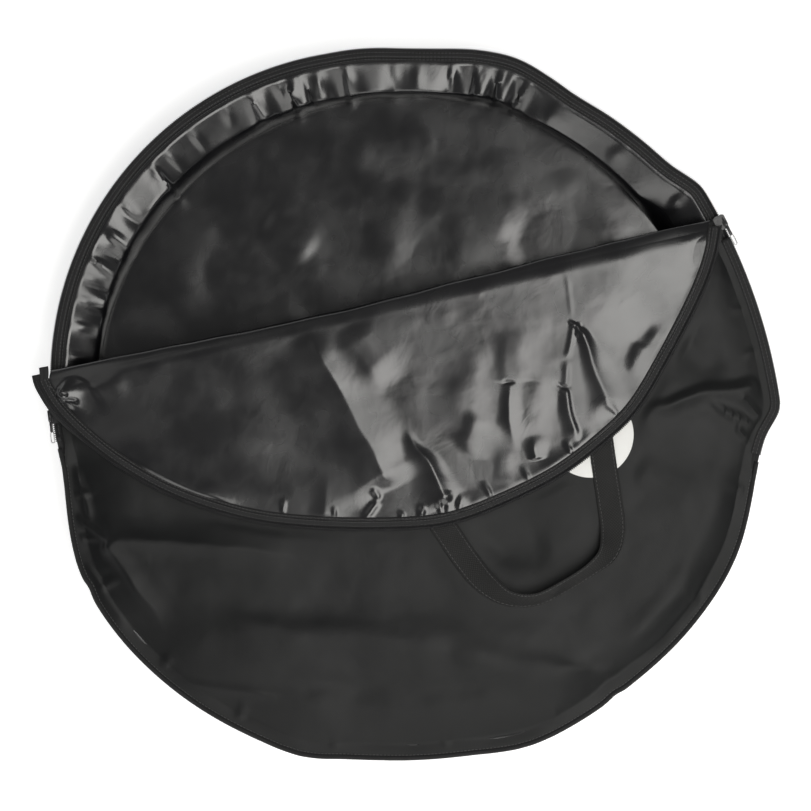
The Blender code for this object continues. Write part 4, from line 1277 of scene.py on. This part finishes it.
@dataclass
class HalfZip(Part):
    """One side of the zip: a woven tape with its chain, its stitching and its binding.

    Its nodes are those of its tape, its chain and, where it has one, its binding. The tape can run on
    past the chain, by degrees, and lean inwards at its first end.
    """

    name: str
    edge: Edge
    span: Plan
    body: str
    nodes: tuple[str, ...]
    tape_runs_on: Plan = (0.0, 0.0)
    tape_lean: float = 0.0
    least_run: float = 0.001
    pitch: float = 0.0020
    wire: float = 0.00044
    wire_sides: int = 5
    turn_steps: int = 9
    head_share: float = 0.25
    chain_width: float = 0.0038
    cord_wires: Plan = (3.0, 2.6)
    cord_sides: int = 8
    cord_step: float = 0.004
    outer_inset: float = 0.0010
    inner_inset: float = 0.0104
    groove: Plan = (0.0041, 0.0055)
    groove_share: float = 0.6
    binding_inset: float = 0.0107
    binding_width: float = 0.0031
    binding_lift: float = 0.0003
    chain_stitch_gap: float = 0.0012
    tape_stitch_gap: float = 0.0015
    binding_stitch_gap: float = 0.0011

    def __post_init__(self) -> None:
        """Reads the heights of the tape and the chain."""
        self.tape, self.chain = level(self.nodes[0]), level(self.nodes[1])

    def build_tape(self) -> Piece:
        """Builds the woven tape, with a groove beside its chain.

        Returns:
            The tape.
        """
        first, last = self.span
        before, after = self.tape_runs_on
        angles = self.edge.even_angles(first - before, last + after, SWEEP_STEP)
        lean = self.tape_lean * smooth((first + before - angles) / (2.0 * before + self.least_run))
        low, high = self.tape
        band = rounded_band(self.outer_inset, self.inner_inset, low, high)
        near, far = self.groove
        band[4:4] = [(near, high), ((near + far) / 2, high - self.groove_share * (high - low)), (far, high)]
        return sweep(self.name + "_tape", self.edge, angles, band, lean)

    def build_chain(self) -> Piece:
        """Builds the nylon coil, turn by turn, with its thicker heads outwards.

        Returns:
            The coil.
        """
        low, high = self.chain
        middle, half = (low + high) / 2, (high - low) / 2 - self.wire
        steps = self.edge.even_angles(*self.span, self.pitch / self.turn_steps)
        turns = np.arange(len(steps)) * math.tau / self.turn_steps
        inset = self.chain_width / 2 - np.cos(turns) * (self.chain_width / 2 - self.wire)
        inward = self.edge.inward(steps)
        centres = np.column_stack([self.edge.point(steps, inset), middle + np.sin(turns) * half])
        out = np.column_stack([inward * -np.cos(turns)[:, None], np.sin(turns)])
        run = np.column_stack([inward[:, 1], -inward[:, 0], np.zeros(len(steps))])
        girth = self.wire * (1.0 + self.head_share * np.maximum(np.cos(turns), 0.0) ** 2)
        corners = np.arange(self.wire_sides) * math.tau / self.wire_sides
        rings = centres[:, None] + girth[:, None, None] * (
            np.cos(corners)[None, :, None] * out[:, None] + np.sin(corners)[None, :, None] * run[:, None]
        )
        return loft(self.name + "_chain", rings)

    def build_cord(self) -> Piece:
        """Builds the cord inside the coil that the turns are woven round.

        Returns:
            The cord.
        """
        low, high = self.chain
        wide_wires, high_wires = self.cord_wires
        middle, half = (low + high) / 2, (high - low) / 2 - high_wires * self.wire
        centre = self.chain_width / 2
        wide = centre - wide_wires * self.wire
        turns = np.arange(self.cord_sides) * math.tau / self.cord_sides
        profile = [(centre + wide * math.cos(turn), middle + half * math.sin(turn)) for turn in turns]
        angles = self.edge.even_angles(*self.span, self.cord_step)
        return sweep(self.name + "_chain_cord", self.edge, angles, profile)

    def build(self) -> None:
        """Builds the whole of this side of the zip."""
        low, high = self.tape
        tape = self.build_tape()
        pieces = [(tape, "zip_tape", self.finishes.tape),
                  (self.build_chain(), "zip_coil", self.finishes.coil),
                  (self.build_cord(), "zip_tape", self.finishes.tape)]
        seams = [("_chain_stitches", self.chain_width + self.chain_stitch_gap, high - LAYER_GAP),
                 ("_tape_stitches", self.inner_inset - self.tape_stitch_gap, high)]
        if len(self.nodes) > 2:
            top = high + self.binding_lift
            band = rounded_band(self.binding_inset, self.binding_inset + self.binding_width, low, top)
            angles = self.edge.even_angles(*self.span, SWEEP_STEP)
            binding = sweep(self.name + "_binding", self.edge, angles, band)
            pieces.append((binding, "seam_binding", self.finishes.binding))
            seams.append(("_binding_stitches", self.binding_inset + self.binding_stitch_gap, top))
        for suffix, inset, height in seams:
            row = stitched_edge(self.name + suffix, self.edge, self.span, inset, height)
            pieces.append((row, "zip_tape", self.finishes.thread))
        for piece, slot, material in pieces:
            self.finishes.dress(piece, material)
            hang(piece, self.body, slot)
        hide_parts(*self.nodes)


@dataclass
class ZipTail(Part):
    """The other half's tape, which comes out from under the flap's left end and dies away below it."""

    span: Plan = (191.7, 210.0)
    edge_gap: float = 0.0008
    width: float = 0.0098
    out: float = 0.0040
    fade: float = 13.0
    layer: float = 0.0006

    def build(self) -> None:
        """Builds the tape's end."""
        angles = self.shape.flap.even_angles(*self.span, SWEEP_STEP)
        high = level("flap_zip_tape")[0] - self.layer / 2
        band = rounded_band(self.edge_gap, self.width, high - self.layer, high)
        shift = -self.out * smooth((self.span[1] - angles) / self.fade)
        tail = sweep("fold_tail_tape", self.shape.flap, angles, band, shift)
        self.finishes.dress(tail, self.finishes.tape)
        hang(tail, "flap", "zip_tape")


@dataclass
class Piping(Part):
    """The round piping that closes the seam of the lower half, and the stitches beside it."""

    radius: float = 0.0026
    span: Plan = (187.2, 350.8)
    sides: int = 12
    bare_ends: float = 1.0
    stitch_gap: float = 0.0022
    stitch_lift: float = 0.0007

    def build(self) -> None:
        """Builds the piping and its stitches."""
        rim = self.shape.rim
        first, last = self.span
        middle = sum(level("edge_piping")) / 2
        turns = np.arange(self.sides) * math.tau / self.sides
        profile = [(self.radius * (1.0 - math.cos(turn)), middle + self.radius * math.sin(turn))
                   for turn in turns]
        piping = sweep("edge_piping_cord", rim, rim.even_angles(first, last, SWEEP_STEP), profile)
        self.finishes.dress(piping, self.finishes.binding)
        hang(piping, "bag", "seam_binding", "edge_piping")
        inset, top = self.shape.seam_inset + self.stitch_gap, self.shape.front_seam + self.stitch_lift
        span = (first + self.bare_ends, last - self.bare_ends)
        row = stitched_edge("seam_stitches", rim, span, inset, top)
        self.finishes.dress(row, self.finishes.thread)
        hang(row, "bag", "seam_binding")


def spline(knots: Array, count: int) -> Array:
    """A smooth curve through knots.

    Args:
        knots: the knots' values, a row each.
        count: how many points to give between neighbours.

    Returns:
        The points, with both ends.
    """
    before, after = np.vstack([knots[:1], knots[:-1]]), np.vstack([knots[1:], knots[-1:]])
    slope = (after - before) / 2
    share = (np.arange(count) / count)[:, None, None]
    start, stop, leave, arrive = knots[:-1], knots[1:], slope[:-1], slope[1:]
    points = (
        start * (2 * share**3 - 3 * share**2 + 1) + leave * (share**3 - 2 * share**2 + share)
        + stop * (3 * share**2 - 2 * share**3) + arrive * (share**3 - share**2)
    )
    return np.vstack([points.transpose(1, 0, 2).reshape(-1, knots.shape[1]), knots[-1:]])


@dataclass
class Handle(Part):
    """The carrying handle: one length of webbing whose ends are sewn under the flap.

    Each knot of its route is a plan place in millimetres and how far the strap stands on edge. Its
    selvedge has insets from its edge, with shares of its half thickness.
    """

    route: tuple[tuple[float, float, float], ...] = (
        (14, -84, 0.0), (28, -106, 0.0), (41, -125, 0.0), (60, -153, 0.05), (80, -177, 0.4),
        (103, -192, 0.85), (131, -193, 1.0), (160, -179, 1.0), (185, -163, 0.95), (202, -147, 0.6),
        (207, -124, 0.15), (204, -96, 0.0), (200, -70, 0.0), (196, -42, 0.0), (193, -18, 0.0), (191, 4, 0.0),
    )
    width: float = 0.0250
    thickness: float = 0.0018
    selvedge: tuple[Plan, ...] = ((0.0, 0.4), (0.0006, 0.95), (0.0022, 0.8))
    tilt: float = 60.0
    steps: int = 12
    blend_reach: float = 0.006
    stitch_inset: float = 0.0024
    stitch_span: Plan = (0.002, 0.006)
    stitch_pitch: float = 0.0040
    stitch_length: float = 0.0028
    stitch_share: float = 0.85
    thread: float = 0.0007
    thread_rise: float = 0.0002

    def line(self) -> Array:
        """The strap's middle line in plan, in metres, and its lean."""
        knots = np.array(self.route, float) * (MILLIMETRE, MILLIMETRE, 1.0)
        return spline(knots, self.steps)

    def stations(self) -> tuple[Array, Array, Array]:
        """The strap's stations.

        Returns:
            Its middle points, the directions across it and those out of its face.
        """
        line = self.line()
        plan = line[:, :2]
        ahead = np.gradient(plan, axis=0)
        ahead /= np.linalg.norm(ahead, axis=1, keepdims=True)
        flat = np.column_stack([-ahead[:, 1], ahead[:, 0], np.zeros(len(plan))])
        lean = np.radians(self.tilt * np.clip(line[:, 2], 0.0, 1.0))[:, None]
        across = flat * np.cos(lean) + UP * np.sin(lean)
        face = UP * np.cos(lean) - flat * np.sin(lean)
        rest = np.abs(across[:, 2]) * self.width / 2 + np.abs(face[:, 2]) * self.thickness / 2
        middle = np.column_stack([plan, level("handle_end_left")[0] + rest])
        return middle, across, face

    def build(self) -> None:
        """Builds the strap and the lines of stitches along its edges."""
        middle, across, face = self.stations()
        half, thick = self.width / 2, self.thickness / 2
        right = [(half - inset, share) for inset, share in self.selvedge]
        profile = [(-wide, -high) for wide, high in right] + [(wide, -high) for wide, high in right[::-1]]
        profile += right + [(-wide, high) for wide, high in right[::-1]]
        rings = np.stack([middle + across * wide + face * thick * high for wide, high in profile], 1)
        strap = loft("handle_strap", rings, np.array([wide for wide, _ in profile]))
        pieces = [(strap, self.finishes.webbing)]
        along = lengths(middle)
        spots = np.arange(self.stitch_span[0], along[-1] - self.stitch_span[1], self.stitch_pitch)
        for name, side in (("left", 1.0), ("right", -1.0)):
            lay = middle + across * side * (half - self.stitch_inset) + face * thick * self.stitch_share
            ends = [np.stack([np.interp(spots + shift, along, lay[:, axis]) for axis in range(3)], 1)
                    for shift in (0.0, self.stitch_length)]
            row = stitches("handle_stitches_" + name, *ends, self.thread, self.thread_rise)
            pieces.append((row, self.finishes.thread))
        for piece, material in pieces:
            self.finishes.dress(piece, material)
            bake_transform(piece)
            LOG.info("built %s", piece.name)
        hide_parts("handle_loop", "handle_end_left", "handle_end_right")


@dataclass
class Badge(Part):
    """The plain round badge, a printed film with a softly raised edge."""

    thickness: float = 0.0003
    glue: float = 0.0001
    bevel: float = 0.0001
    ring_shares: tuple[float, ...] = (0.01, 1.0, 1.0, 0.994, 0.6, 0.01)
    sides: int = 96

    def build(self) -> None:
        """Builds the badge on the front panel."""
        low = self.shape.crown + self.shape.cloth_thickness / 2 + self.glue
        high = low + self.thickness
        turns = direction(np.arange(self.sides) * 360.0 / self.sides)
        heights = (low, low, high - self.bevel, high, high, high)
        rings = [np.column_stack([BADGE_PLACE + turns * BADGE_RADIUS * share, np.full(self.sides, height)])
                 for share, height in zip(self.ring_shares, heights)]
        badge = loft("badge_film", np.array(rings))
        self.finishes.dress(badge, self.finishes.film)
        hang(badge, "bag", "badge_print", "badge_disc")


@dataclass
class Pull(Part):
    """A slider's pull: an eye round the bail and a slim neck in dark enamel, then a bright loop to hold.

    The eye, the neck and the loop each have a start and a stop along the pull, and a width.
    """

    name: str
    wire: float = 0.0006
    eye: tuple[float, float, float] = (-0.0009, 0.0064, 0.0046)
    neck: tuple[float, float, float] = (0.0058, 0.0158, 0.0034)
    loop: tuple[float, float, float] = (0.0150, 0.0270, 0.0044)
    thickness: float = 0.0012
    sides: int = 8
    bend_steps: int = 10
    neck_shares: tuple[float, ...] = (0.0, 0.1, 0.5, 0.9, 1.0)
    girth_shares: tuple[float, ...] = (0.7, 1.0, 0.86, 1.0, 0.7)
    wide_shares: tuple[float, ...] = (-1.0, -0.8, 0.8, 1.0, 1.0, 0.8, -0.8, -1.0)
    high_shares: tuple[float, ...] = (-0.4, -1.0, -1.0, -0.4, 0.4, 1.0, 1.0, 0.4)

    def __post_init__(self) -> None:
        """Reads the line that the pull swings on, and the way that it hangs."""
        joint = joint_with("child", self.name)
        self.pivot, self.across = np.array(joint["pos_m"]), np.array(joint["axis"])
        self.ahead = np.array((-self.across[1], self.across[0], 0.0))

    def place(self, along: Array, aside: Array, up: Array) -> Array:
        """Points by how far along the pull, beside its middle and above it they lie."""
        along, aside, up = (part[..., None] for part in np.broadcast_arrays(along, aside, up))
        return self.pivot + along * self.ahead + aside * self.across + up * UP

    def ring(self, part: str, start: float, stop: float, width: float) -> Piece:
        """Builds an oblong ring of wire with round ends.

        Args:
            part: what the ring's name ends in.
            start: how far along the pull it starts.
            stop: how far along the pull it ends.
            width: its width.

        Returns:
            The ring.
        """
        half = width / 2 - self.wire
        steps = self.bend_steps
        turns = np.radians(np.concatenate([np.linspace(-90, 90, steps), np.linspace(90, 270, steps)]))
        ends = np.repeat((stop - self.wire - half, start + self.wire + half), steps)
        away = np.stack([np.cos(turns), np.sin(turns)], -1)
        route = np.stack([ends, np.zeros(len(ends))], -1) + half * away
        corners = np.arange(self.sides) * math.tau / self.sides
        flat = route[:, None] + away[:, None] * (self.wire * np.cos(corners))[None, :, None]
        points = self.place(flat[..., 0], flat[..., 1], self.wire * np.sin(corners)[None])
        index = np.arange(points.shape[0] * self.sides).reshape(-1, self.sides)
        ahead, beside = np.roll(index, -1, 0), np.roll(index, -1, 1)
        faces = np.stack([index, beside, np.roll(beside, -1, 0), ahead], -1).reshape(-1, 4)
        made = new_object(self.name + part, points.reshape(-1, 3), faces)
        face_out(made)
        return made

    def build(self) -> None:
        """Builds the pull's three parts."""
        start, stop, width = self.neck
        along = (start + (stop - start) * np.array(self.neck_shares))[:, None]
        aside = np.array(self.girth_shares)[:, None] * np.array(self.wide_shares)[None] * width / 2
        up = np.array(self.high_shares)[None] * self.thickness / 2
        neck = loft(self.name + "_neck", self.place(along, aside, up))
        eye, loop = self.ring("_eye", *self.eye), self.ring("_loop", *self.loop)
        enamel, nickel = self.finishes.enamel, self.finishes.nickel
        for piece, finish in ((neck, enamel), (eye, enamel), (loop, nickel)):
            self.finishes.dress(piece, finish)
            hang(piece, self.name, "pull_metal")
        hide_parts(self.name)


class Recipe:
    """A material being built up from nodes."""

    def __init__(self, name: str) -> None:
        """Starts an empty material with its shader.

        Args:
            name: the material's name.
        """
        self.material = bpy.data.materials.new(name)
        self.material.use_nodes = True
        self.tree = self.material.node_tree
        self.shader = self.tree.nodes["Principled BSDF"]

    def add(self, kind: str, inputs: dict[Any, Any] | None = None, output: int | str = 0,
            **settings: Any) -> Socket:
        """Adds a node with its settings and links.

        Args:
            kind: the node's type, without its ShaderNode prefix.
            inputs: for each input its value, or the socket that it is linked from.
            output: which of its outputs to give.
            settings: the node's own settings.

        Returns:
            The output.
        """
        node = self.tree.nodes.new("ShaderNode" + kind)
        for key, value in settings.items():
            setattr(node, key, value)
        self.fill(node, inputs or {})
        return node.outputs[output]

    def fill(self, node: bpy.types.Node, inputs: dict[Any, Any]) -> None:
        """Sets or links a node's inputs.

        Args:
            node: the node.
            inputs: for each input its value, or the socket that it is linked from.
        """
        for key, value in inputs.items():
            if isinstance(value, Socket):
                self.tree.links.new(value, node.inputs[key])
            else:
                node.inputs[key].default_value = value


@dataclass(frozen=True)
class Finish:
    """What every finish has: its name, its darkest and its lightest tone, and its roughness."""

    name: str
    dark: str
    light: str
    roughness: float

    def coat(self, recipe: Recipe, share: Socket, wear: Socket, uneven: Plan,
             rest: dict[str, Any]) -> Material:
        """Fills in the shader.

        Args:
            recipe: the material.
            share: the pattern by which the colour goes from dark to light.
            wear: the pattern by which the roughness changes.
            uneven: how far the roughness goes below and above the finish's own.
            rest: the shader's other inputs.

        Returns:
            The material.
        """
        tones = {0: share, 6: linear(self.dark), 7: linear(self.light)}
        colour = recipe.add("Mix", tones, 2, data_type="RGBA")
        least, most = self.roughness - uneven[0], self.roughness + uneven[1]
        rough = recipe.add("MapRange", {0: wear, 1: NOISE_LOW, 2: NOISE_HIGH, 3: least, 4: most},
                           **SMOOTH)
        recipe.fill(recipe.shader, {"Base Color": colour, "Roughness": rough, **rest})
        return recipe.material

    def weave(self, recipe: Recipe, pitch: float) -> Socket:
        """Adds a plain weave, with threads over and under on the flat cloth.

        Args:
            recipe: the material.
            pitch: how far it is from thread to thread, over and under, in metres.

        Returns:
            The height, from 0 to 1.
        """
        place = recipe.add("UVMap", uv_map=CLOTH_MAP)
        parts = recipe.add("SeparateXYZ", {0: place}).node.outputs
        threads = []
        for part in parts[:2]:
            turn = recipe.add("Math", {0: part, 1: math.tau / pitch}, operation="MULTIPLY")
            threads.append(recipe.add("Math", {0: turn}, operation="SINE"))
        both = recipe.add("Math", {0: threads[0], 1: threads[1]}, operation="MULTIPLY")
        return recipe.add("MapRange", {0: both, 1: -WEAVE_PEAK, 2: WEAVE_PEAK}, **SMOOTH)


@dataclass(frozen=True)
class CoatedPolyester(Finish):
    """Woven polyester with a dull coating, the bag's outer side."""

    # The weave and the dry coating give a soft near-black, with a faint sheen where the cloth is rubbed.
    name: str = "coated_polyester"
    dark: str = "#0f1011"
    light: str = "#171818"
    roughness: float = 0.48
    uneven: Plan = (0.06, 0.06)
    # A thread spacing of 0.4 mm is drawn four times as coarse, or it wouldn't show at 1 mm a pixel.
    thread: float = 0.0016
    thread_height: float = 0.00010
    crumple: float = 0.045
    crumple_height: float = 0.0012
    rub: float = 0.11
    specular: float = 0.30

    def build(self) -> Material:
        """Builds the material.

        Returns:
            The material, with its weave, fine crumples and a little rubbed dust.
        """
        recipe = Recipe(self.name)
        place = recipe.add("TexCoord", output="Object")
        weave = self.weave(recipe, self.thread)
        crumple = recipe.add("TexNoise", {"Vector": place, "Scale": 1.0 / self.crumple, "Detail": 5.0,
                                          "Roughness": 0.55, "Distortion": 0.6})
        rub = recipe.add("TexNoise", {"Vector": place, "Scale": 1.0 / self.rub, "Detail": 4.0,
                                      "Roughness": 0.62})
        tone = recipe.add("MapRange", {0: rub, 1: 0.35, 2: 0.70}, **SMOOTH)
        bump = recipe.add("Bump", {"Height": crumple, "Distance": self.crumple_height, "Strength": 0.5})
        bump = recipe.add("Bump", {"Height": weave, "Distance": self.thread_height, "Strength": 0.6,
                                   "Normal": bump})
        rest = {"Normal": bump, "Specular IOR Level": self.specular}
        return self.coat(recipe, tone, rub, self.uneven, rest)


@dataclass(frozen=True)
class PolyurethaneFilm(Finish):
    """The polyurethane coating on the cloth's inner side."""

    # A smooth coat on crumpled cloth gives black gloss, with the lamps' light broken up along each crease.
    name: str = "polyurethane_film"
    dark: str = "#0e0e10"
    light: str = "#131315"
    roughness: float = 0.24
    uneven: Plan = (0.05, 0.07)
    crumple: float = 0.034
    crumple_height: float = 0.0005
    crease: float = 0.020
    crease_height: float = 0.0001
    wander: float = 0.05
    specular: float = 0.9

    def build(self) -> Material:
        """Builds the material.

        Returns:
            The material, with sharp crumples on soft ones.
        """
        recipe = Recipe(self.name)
        place = recipe.add("TexCoord", output="Object")
        warp = recipe.add("TexNoise", {"Vector": place, "Scale": 1.0 / self.wander, "Detail": 2.0})
        moved = recipe.add("MixRGB", {0: 0.02, 1: place, 2: warp.node.outputs[1]}, blend_type="ADD")
        soft = recipe.add("TexNoise", {"Vector": place, "Scale": 1.0 / self.crumple, "Detail": 4.0,
                                       "Roughness": 0.5, "Distortion": 1.0})
        sharp = recipe.add("TexVoronoi", {"Vector": moved, "Scale": 1.0 / self.crease}, "Distance",
                           feature="DISTANCE_TO_EDGE")
        bump = recipe.add("Bump", {"Height": soft, "Distance": self.crumple_height, "Strength": 0.5})
        crease = recipe.add("MapRange", {0: sharp, 1: 0.0, 2: 0.35}, **SMOOTH)
        bump = recipe.add("Bump", {"Height": crease, "Distance": self.crease_height, "Strength": 0.25,
                                   "Normal": bump})
        tone = recipe.add("MapRange", {0: soft, 1: NOISE_LOW, 2: NOISE_HIGH}, **SMOOTH)
        rest = {"Normal": bump, "Specular IOR Level": self.specular}
        return self.coat(recipe, tone, warp, self.uneven, rest)


@dataclass(frozen=True)
class WovenTape(Finish):
    """Narrow woven polyester: zip tape, binding and webbing."""

    # Bare ribbed yarn gives a dry dull black; its lighter tone is painted highlight on the rib crests and
    # its darker tone is painted shade between the ribs.
    name: str = "woven_tape"
    dark: str = "#060607"
    light: str = "#333335"
    roughness: float = 0.68
    # Ribs 0.7 mm apart are drawn three times as coarse, or they wouldn't show at 1 mm a pixel.
    rib: float = 0.0021
    rib_height: float = 0.0003
    wear: float = 0.02
    uneven: Plan = (0.08, 0.08)

    def build(self) -> Material:
        """Builds the material.

        Returns:
            The material, with painted highlight on its rib crests and painted shade between them, stronger
            in some places than others.
        """
        recipe = Recipe(self.name)
        weave = self.weave(recipe, self.rib)
        place = recipe.add("TexCoord", output="Object")
        wear = recipe.add("TexNoise", {"Vector": place, "Scale": 1.0 / self.wear, "Detail": 5.0})
        bump = recipe.add("Bump", {"Height": weave, "Distance": self.rib_height, "Strength": 0.9})
        # The rib tone is painted light and shade: lighter on the crests, darker in the grooves, varied at
        # random by the wear noise that also sets the roughness.
        rib_shading_share = recipe.add("MapRange", {0: wear, 1: 0.2, 2: 0.8}, **SMOOTH)
        ribs = recipe.add("Math", {0: weave, 1: rib_shading_share}, operation="MULTIPLY")
        sheen = {"Sheen Weight": 0.06, "Sheen Roughness": 0.5}
        return self.coat(recipe, ribs, wear, self.uneven, {"Normal": bump, **sheen})


@dataclass(frozen=True)
class PlainSolid(Finish):
    """A solid finish: enamel, nylon, plated metal, printed film or thread."""

    # Moulded, plated or coated smooth, it gives an even tone, with a highlight that fine wear breaks up.
    metallic: float = 0.0
    grain: float = 0.004
    bump: float = 0.00005
    specular: float = 0.5
    uneven: Plan = (0.05, 0.05)

    def build(self) -> Material:
        """Builds the material.

        Returns:
            The material, with a slight change of tone and gloss from wear.
        """
        recipe = Recipe(self.name)
        place = recipe.add("TexCoord", output="Object")
        wear = recipe.add("TexNoise", {"Vector": place, "Scale": 1.0 / self.grain, "Detail": 6.0,
                                       "Roughness": 0.6})
        bump = recipe.add("Bump", {"Height": wear, "Distance": self.bump, "Strength": 0.5})
        tone = recipe.add("MapRange", {0: wear, 1: NOISE_LOW, 2: NOISE_HIGH}, **SMOOTH)
        rest = {"Metallic": self.metallic, "Normal": bump, "Specular IOR Level": self.specular}
        return self.coat(recipe, tone, wear, self.uneven, rest)


class Finishes:
    """Every material of the bag, built once."""

    def __init__(self) -> None:
        """Builds the materials."""
        self.coated = CoatedPolyester().build()
        self.lining = PolyurethaneFilm().build()
        # The woven tapes' light tones are painted highlight on their rib crests, and their dark tones are
        # painted shade between the ribs.
        self.tape = WovenTape().build()
        self.binding = WovenTape("binding_tape", light="#1e1e20", roughness=0.72).build()
        # The webbing's ribs, 1.5 mm apart, are drawn twice as coarse.
        self.webbing = WovenTape("polyester_webbing", "#020202", "#2a2a29", 0.74, rib=0.0030).build()
        # Moulded nylon is half glossy, so each turn of the coil catches a small highlight.
        self.coil = PlainSolid("nylon_coil", "#111113", "#1e1e21", 0.38).build()
        # Baked enamel is a hard dark gloss, a little worn at its edges.
        self.enamel = PlainSolid("enamelled_zinc", "#1b1b1d", "#2a2a2c", 0.32, grain=0.003, bump=0.00004,
                                 specular=0.6).build()
        # Bright plate mirrors the white room, so it looks pale.
        self.nickel = PlainSolid("nickel_plated_zinc", "#b9b9ba", "#d3d3d2", 0.28, metallic=1.0).build()
        # Printed film is flat white with a faint gloss.
        self.film = PlainSolid("printed_film", "#ecece9", "#f6f6f3", 0.38, grain=0.06, bump=0.00010).build()
        # Twisted thread is duller than the tape; its pale tone is painted highlight, standing in for the
        # glints of the stitches, so the rows of stitches show.
        self.thread = PlainSolid("polyester_thread", "#3a3a3b", "#5a5a5a", 0.50, grain=0.002).build()

    def dress(self, piece: Piece, *materials: Material) -> None:
        """Gives a piece its materials.

        Args:
            piece: the piece.
            materials: one for each of its slots, in order.
        """
        piece.data.materials.clear()
        for material in materials:
            piece.data.materials.append(material)

    def dress_hardware(self) -> None:
        """Dresses the sliders and the zip's stops, which stay as they were packed."""
        for name in ("slider_left", "slider_right", "zip_stop_left", "zip_stop_right"):
            self.dress(frame["nodes"][name], self.enamel)
            LOG.info("dressed %s", name)


@dataclass
class Studio:
    """A white floor that curves up all round, soft lamps, and the camera straight above.

    Each lamp has a name, a place, a size and a power. The floor glows only where the camera, a mirror or
    a clear piece sees it, so that it stays white and still keeps the bag's shadow.
    """

    camera_height: float = 3.5
    subject_height: float = 0.048
    view_width: float = 0.811
    view_centre: Plan = (0.0005, -0.0005)
    sensor: float = 0.036
    floor_radii: tuple[float, ...] = (0.001, 0.5, 4.0)
    floor_sides: int = 96
    cove_radius: float = 1.5
    cove_turns: tuple[float, float, int] = (10.0, 80.0, 8)
    paint: str = "#e6e6e6"
    paint_glow: float = 0.72
    world_strength: float = 0.16
    lamp_colour: tuple[float, float, float] = (1.0, 0.99, 0.96)
    lamps: tuple[tuple[str, tuple[float, float, float], Plan, float], ...] = (
        ("key_softbox", (0.65, -0.36, 2.0), (1.75, 1.1), 27.0),
        ("foot_softbox", (-0.25, -1.8, 1.3), (2.2, 1.0), 14.0),
        ("fill_softbox", (-1.2, 0.8, 1.8), (1.2, 1.2), 2.0),
    )

    def build_paint(self) -> Material:
        """Builds the floor's white paint.

        Returns:
            The paint.
        """
        recipe = Recipe("studio_paint")
        camera = recipe.add("LightPath", output="Is Camera Ray")
        glossy, clear = (camera.node.outputs[name] for name in ("Is Glossy Ray", "Is Transmission Ray"))
        seen = recipe.add("Math", {0: glossy, 1: clear}, operation="MAXIMUM")
        seen = recipe.add("Math", {0: camera, 1: seen}, operation="MAXIMUM")
        recipe.fill(recipe.shader, {
            "Base Color": linear(self.paint), "Roughness": 0.9, "Specular IOR Level": 0.1,
            "Emission Color": WHITE,
            "Emission Strength": recipe.add("Math", {0: seen, 1: self.paint_glow}, operation="MULTIPLY"),
        })
        return recipe.material

    def build_floor(self) -> None:
        """Builds the floor, which curves up all round."""
        sides = self.floor_sides
        turns = direction(np.arange(sides) * 360.0 / sides)
        profile = [(radius, 0.0) for radius in self.floor_radii]
        for angle in np.radians(np.linspace(*self.cove_turns)):
            profile.append((self.floor_radii[-1] + self.cove_radius * math.sin(angle),
                            self.cove_radius * (1.0 - math.cos(angle))))
        rows = [np.column_stack([turns * radius, np.full(sides, height)]) for radius, height in profile]
        # The open top has no face, and the last ring in the middle is closed with one.
        faces = capped_faces(len(rows), sides)
        floor = new_object(FLOOR_NAME, np.array(rows)[::-1].reshape(-1, 3), faces[:-2] + faces[-1:])
        floor.data.materials.append(self.build_paint())

    def build_lamp(self, name: str, place: Sequence[float], size: Plan, power: float) -> None:
        """Builds a soft box that looks at the bag's middle.

        Args:
            name: the lamp's name.
            place: where it hangs.
            size: how wide and how high it is.
            power: its power, in watts.
        """
        data = bpy.data.lights.new(name, "AREA")
        data.shape = "RECTANGLE"
        data.size, data.size_y = size
        data.energy = power
        data.color = self.lamp_colour
        lamp = bpy.data.objects.new(name, data)
        lamp.location = place
        lamp.rotation_euler = (-Vector(place)).to_track_quat("-Z", "Y").to_euler()
        lamp.visible_camera = False
        bpy.context.scene.collection.objects.link(lamp)

    def build(self) -> None:
        """Builds the floor, the lamps, the world and the camera."""
        self.build_floor()
        for lamp in self.lamps:
            self.build_lamp(*lamp)
        world = bpy.data.worlds.new("studio_world")
        world.use_nodes = True
        background = world.node_tree.nodes["Background"].inputs
        background[0].default_value = WHITE
        background[1].default_value = self.world_strength
        scene = bpy.context.scene
        scene.world = world
        scene.view_settings.view_transform = "Standard"
        data = bpy.data.cameras.new("camera")
        data.sensor_width = self.sensor / MILLIMETRE
        data.lens = self.sensor * self.camera_height / self.view_width / MILLIMETRE
        camera = bpy.data.objects.new("camera", data)
        camera.location = (*self.view_centre, self.subject_height + self.camera_height)
        scene.collection.objects.link(camera)
        scene.camera = camera


def main() -> None:
    """Builds the studio and the bag, piece by piece."""
    logging.basicConfig(level=logging.INFO, format="%(message)s")
    Studio().build()
    shape, finishes = BagShape(), Finishes()
    for panel in (BackPanel, FrontPanel, Flap):
        panel(shape, finishes).build()
    right, left = shape.zip_ends
    HalfZip(shape, finishes, "back_half", shape.rim, (right, left), "bag",
            ("back_zip_tape", "back_zip_coil", "back_seam_binding"), tape_runs_on=(6.0, 6.0)).build()
    HalfZip(shape, finishes, "side_half", shape.rim, (right, shape.side_zip_end), "bag",
            ("side_zip_tape", "side_zip_coil")).build()
    HalfZip(shape, finishes, "flap_half", shape.flap, shape.flap_span, "flap",
            ("flap_zip_tape", "flap_zip_coil", "flap_seam_binding"), tape_runs_on=(2.2, 0.0),
            tape_lean=0.0045).build()
    for part in (ZipTail, Piping, Handle, Badge):
        part(shape, finishes).build()
    finishes.dress_hardware()
    for name in ("pull_left", "pull_right"):
        Pull(shape, finishes, name).build()


if __name__ == "__main__":
    main()
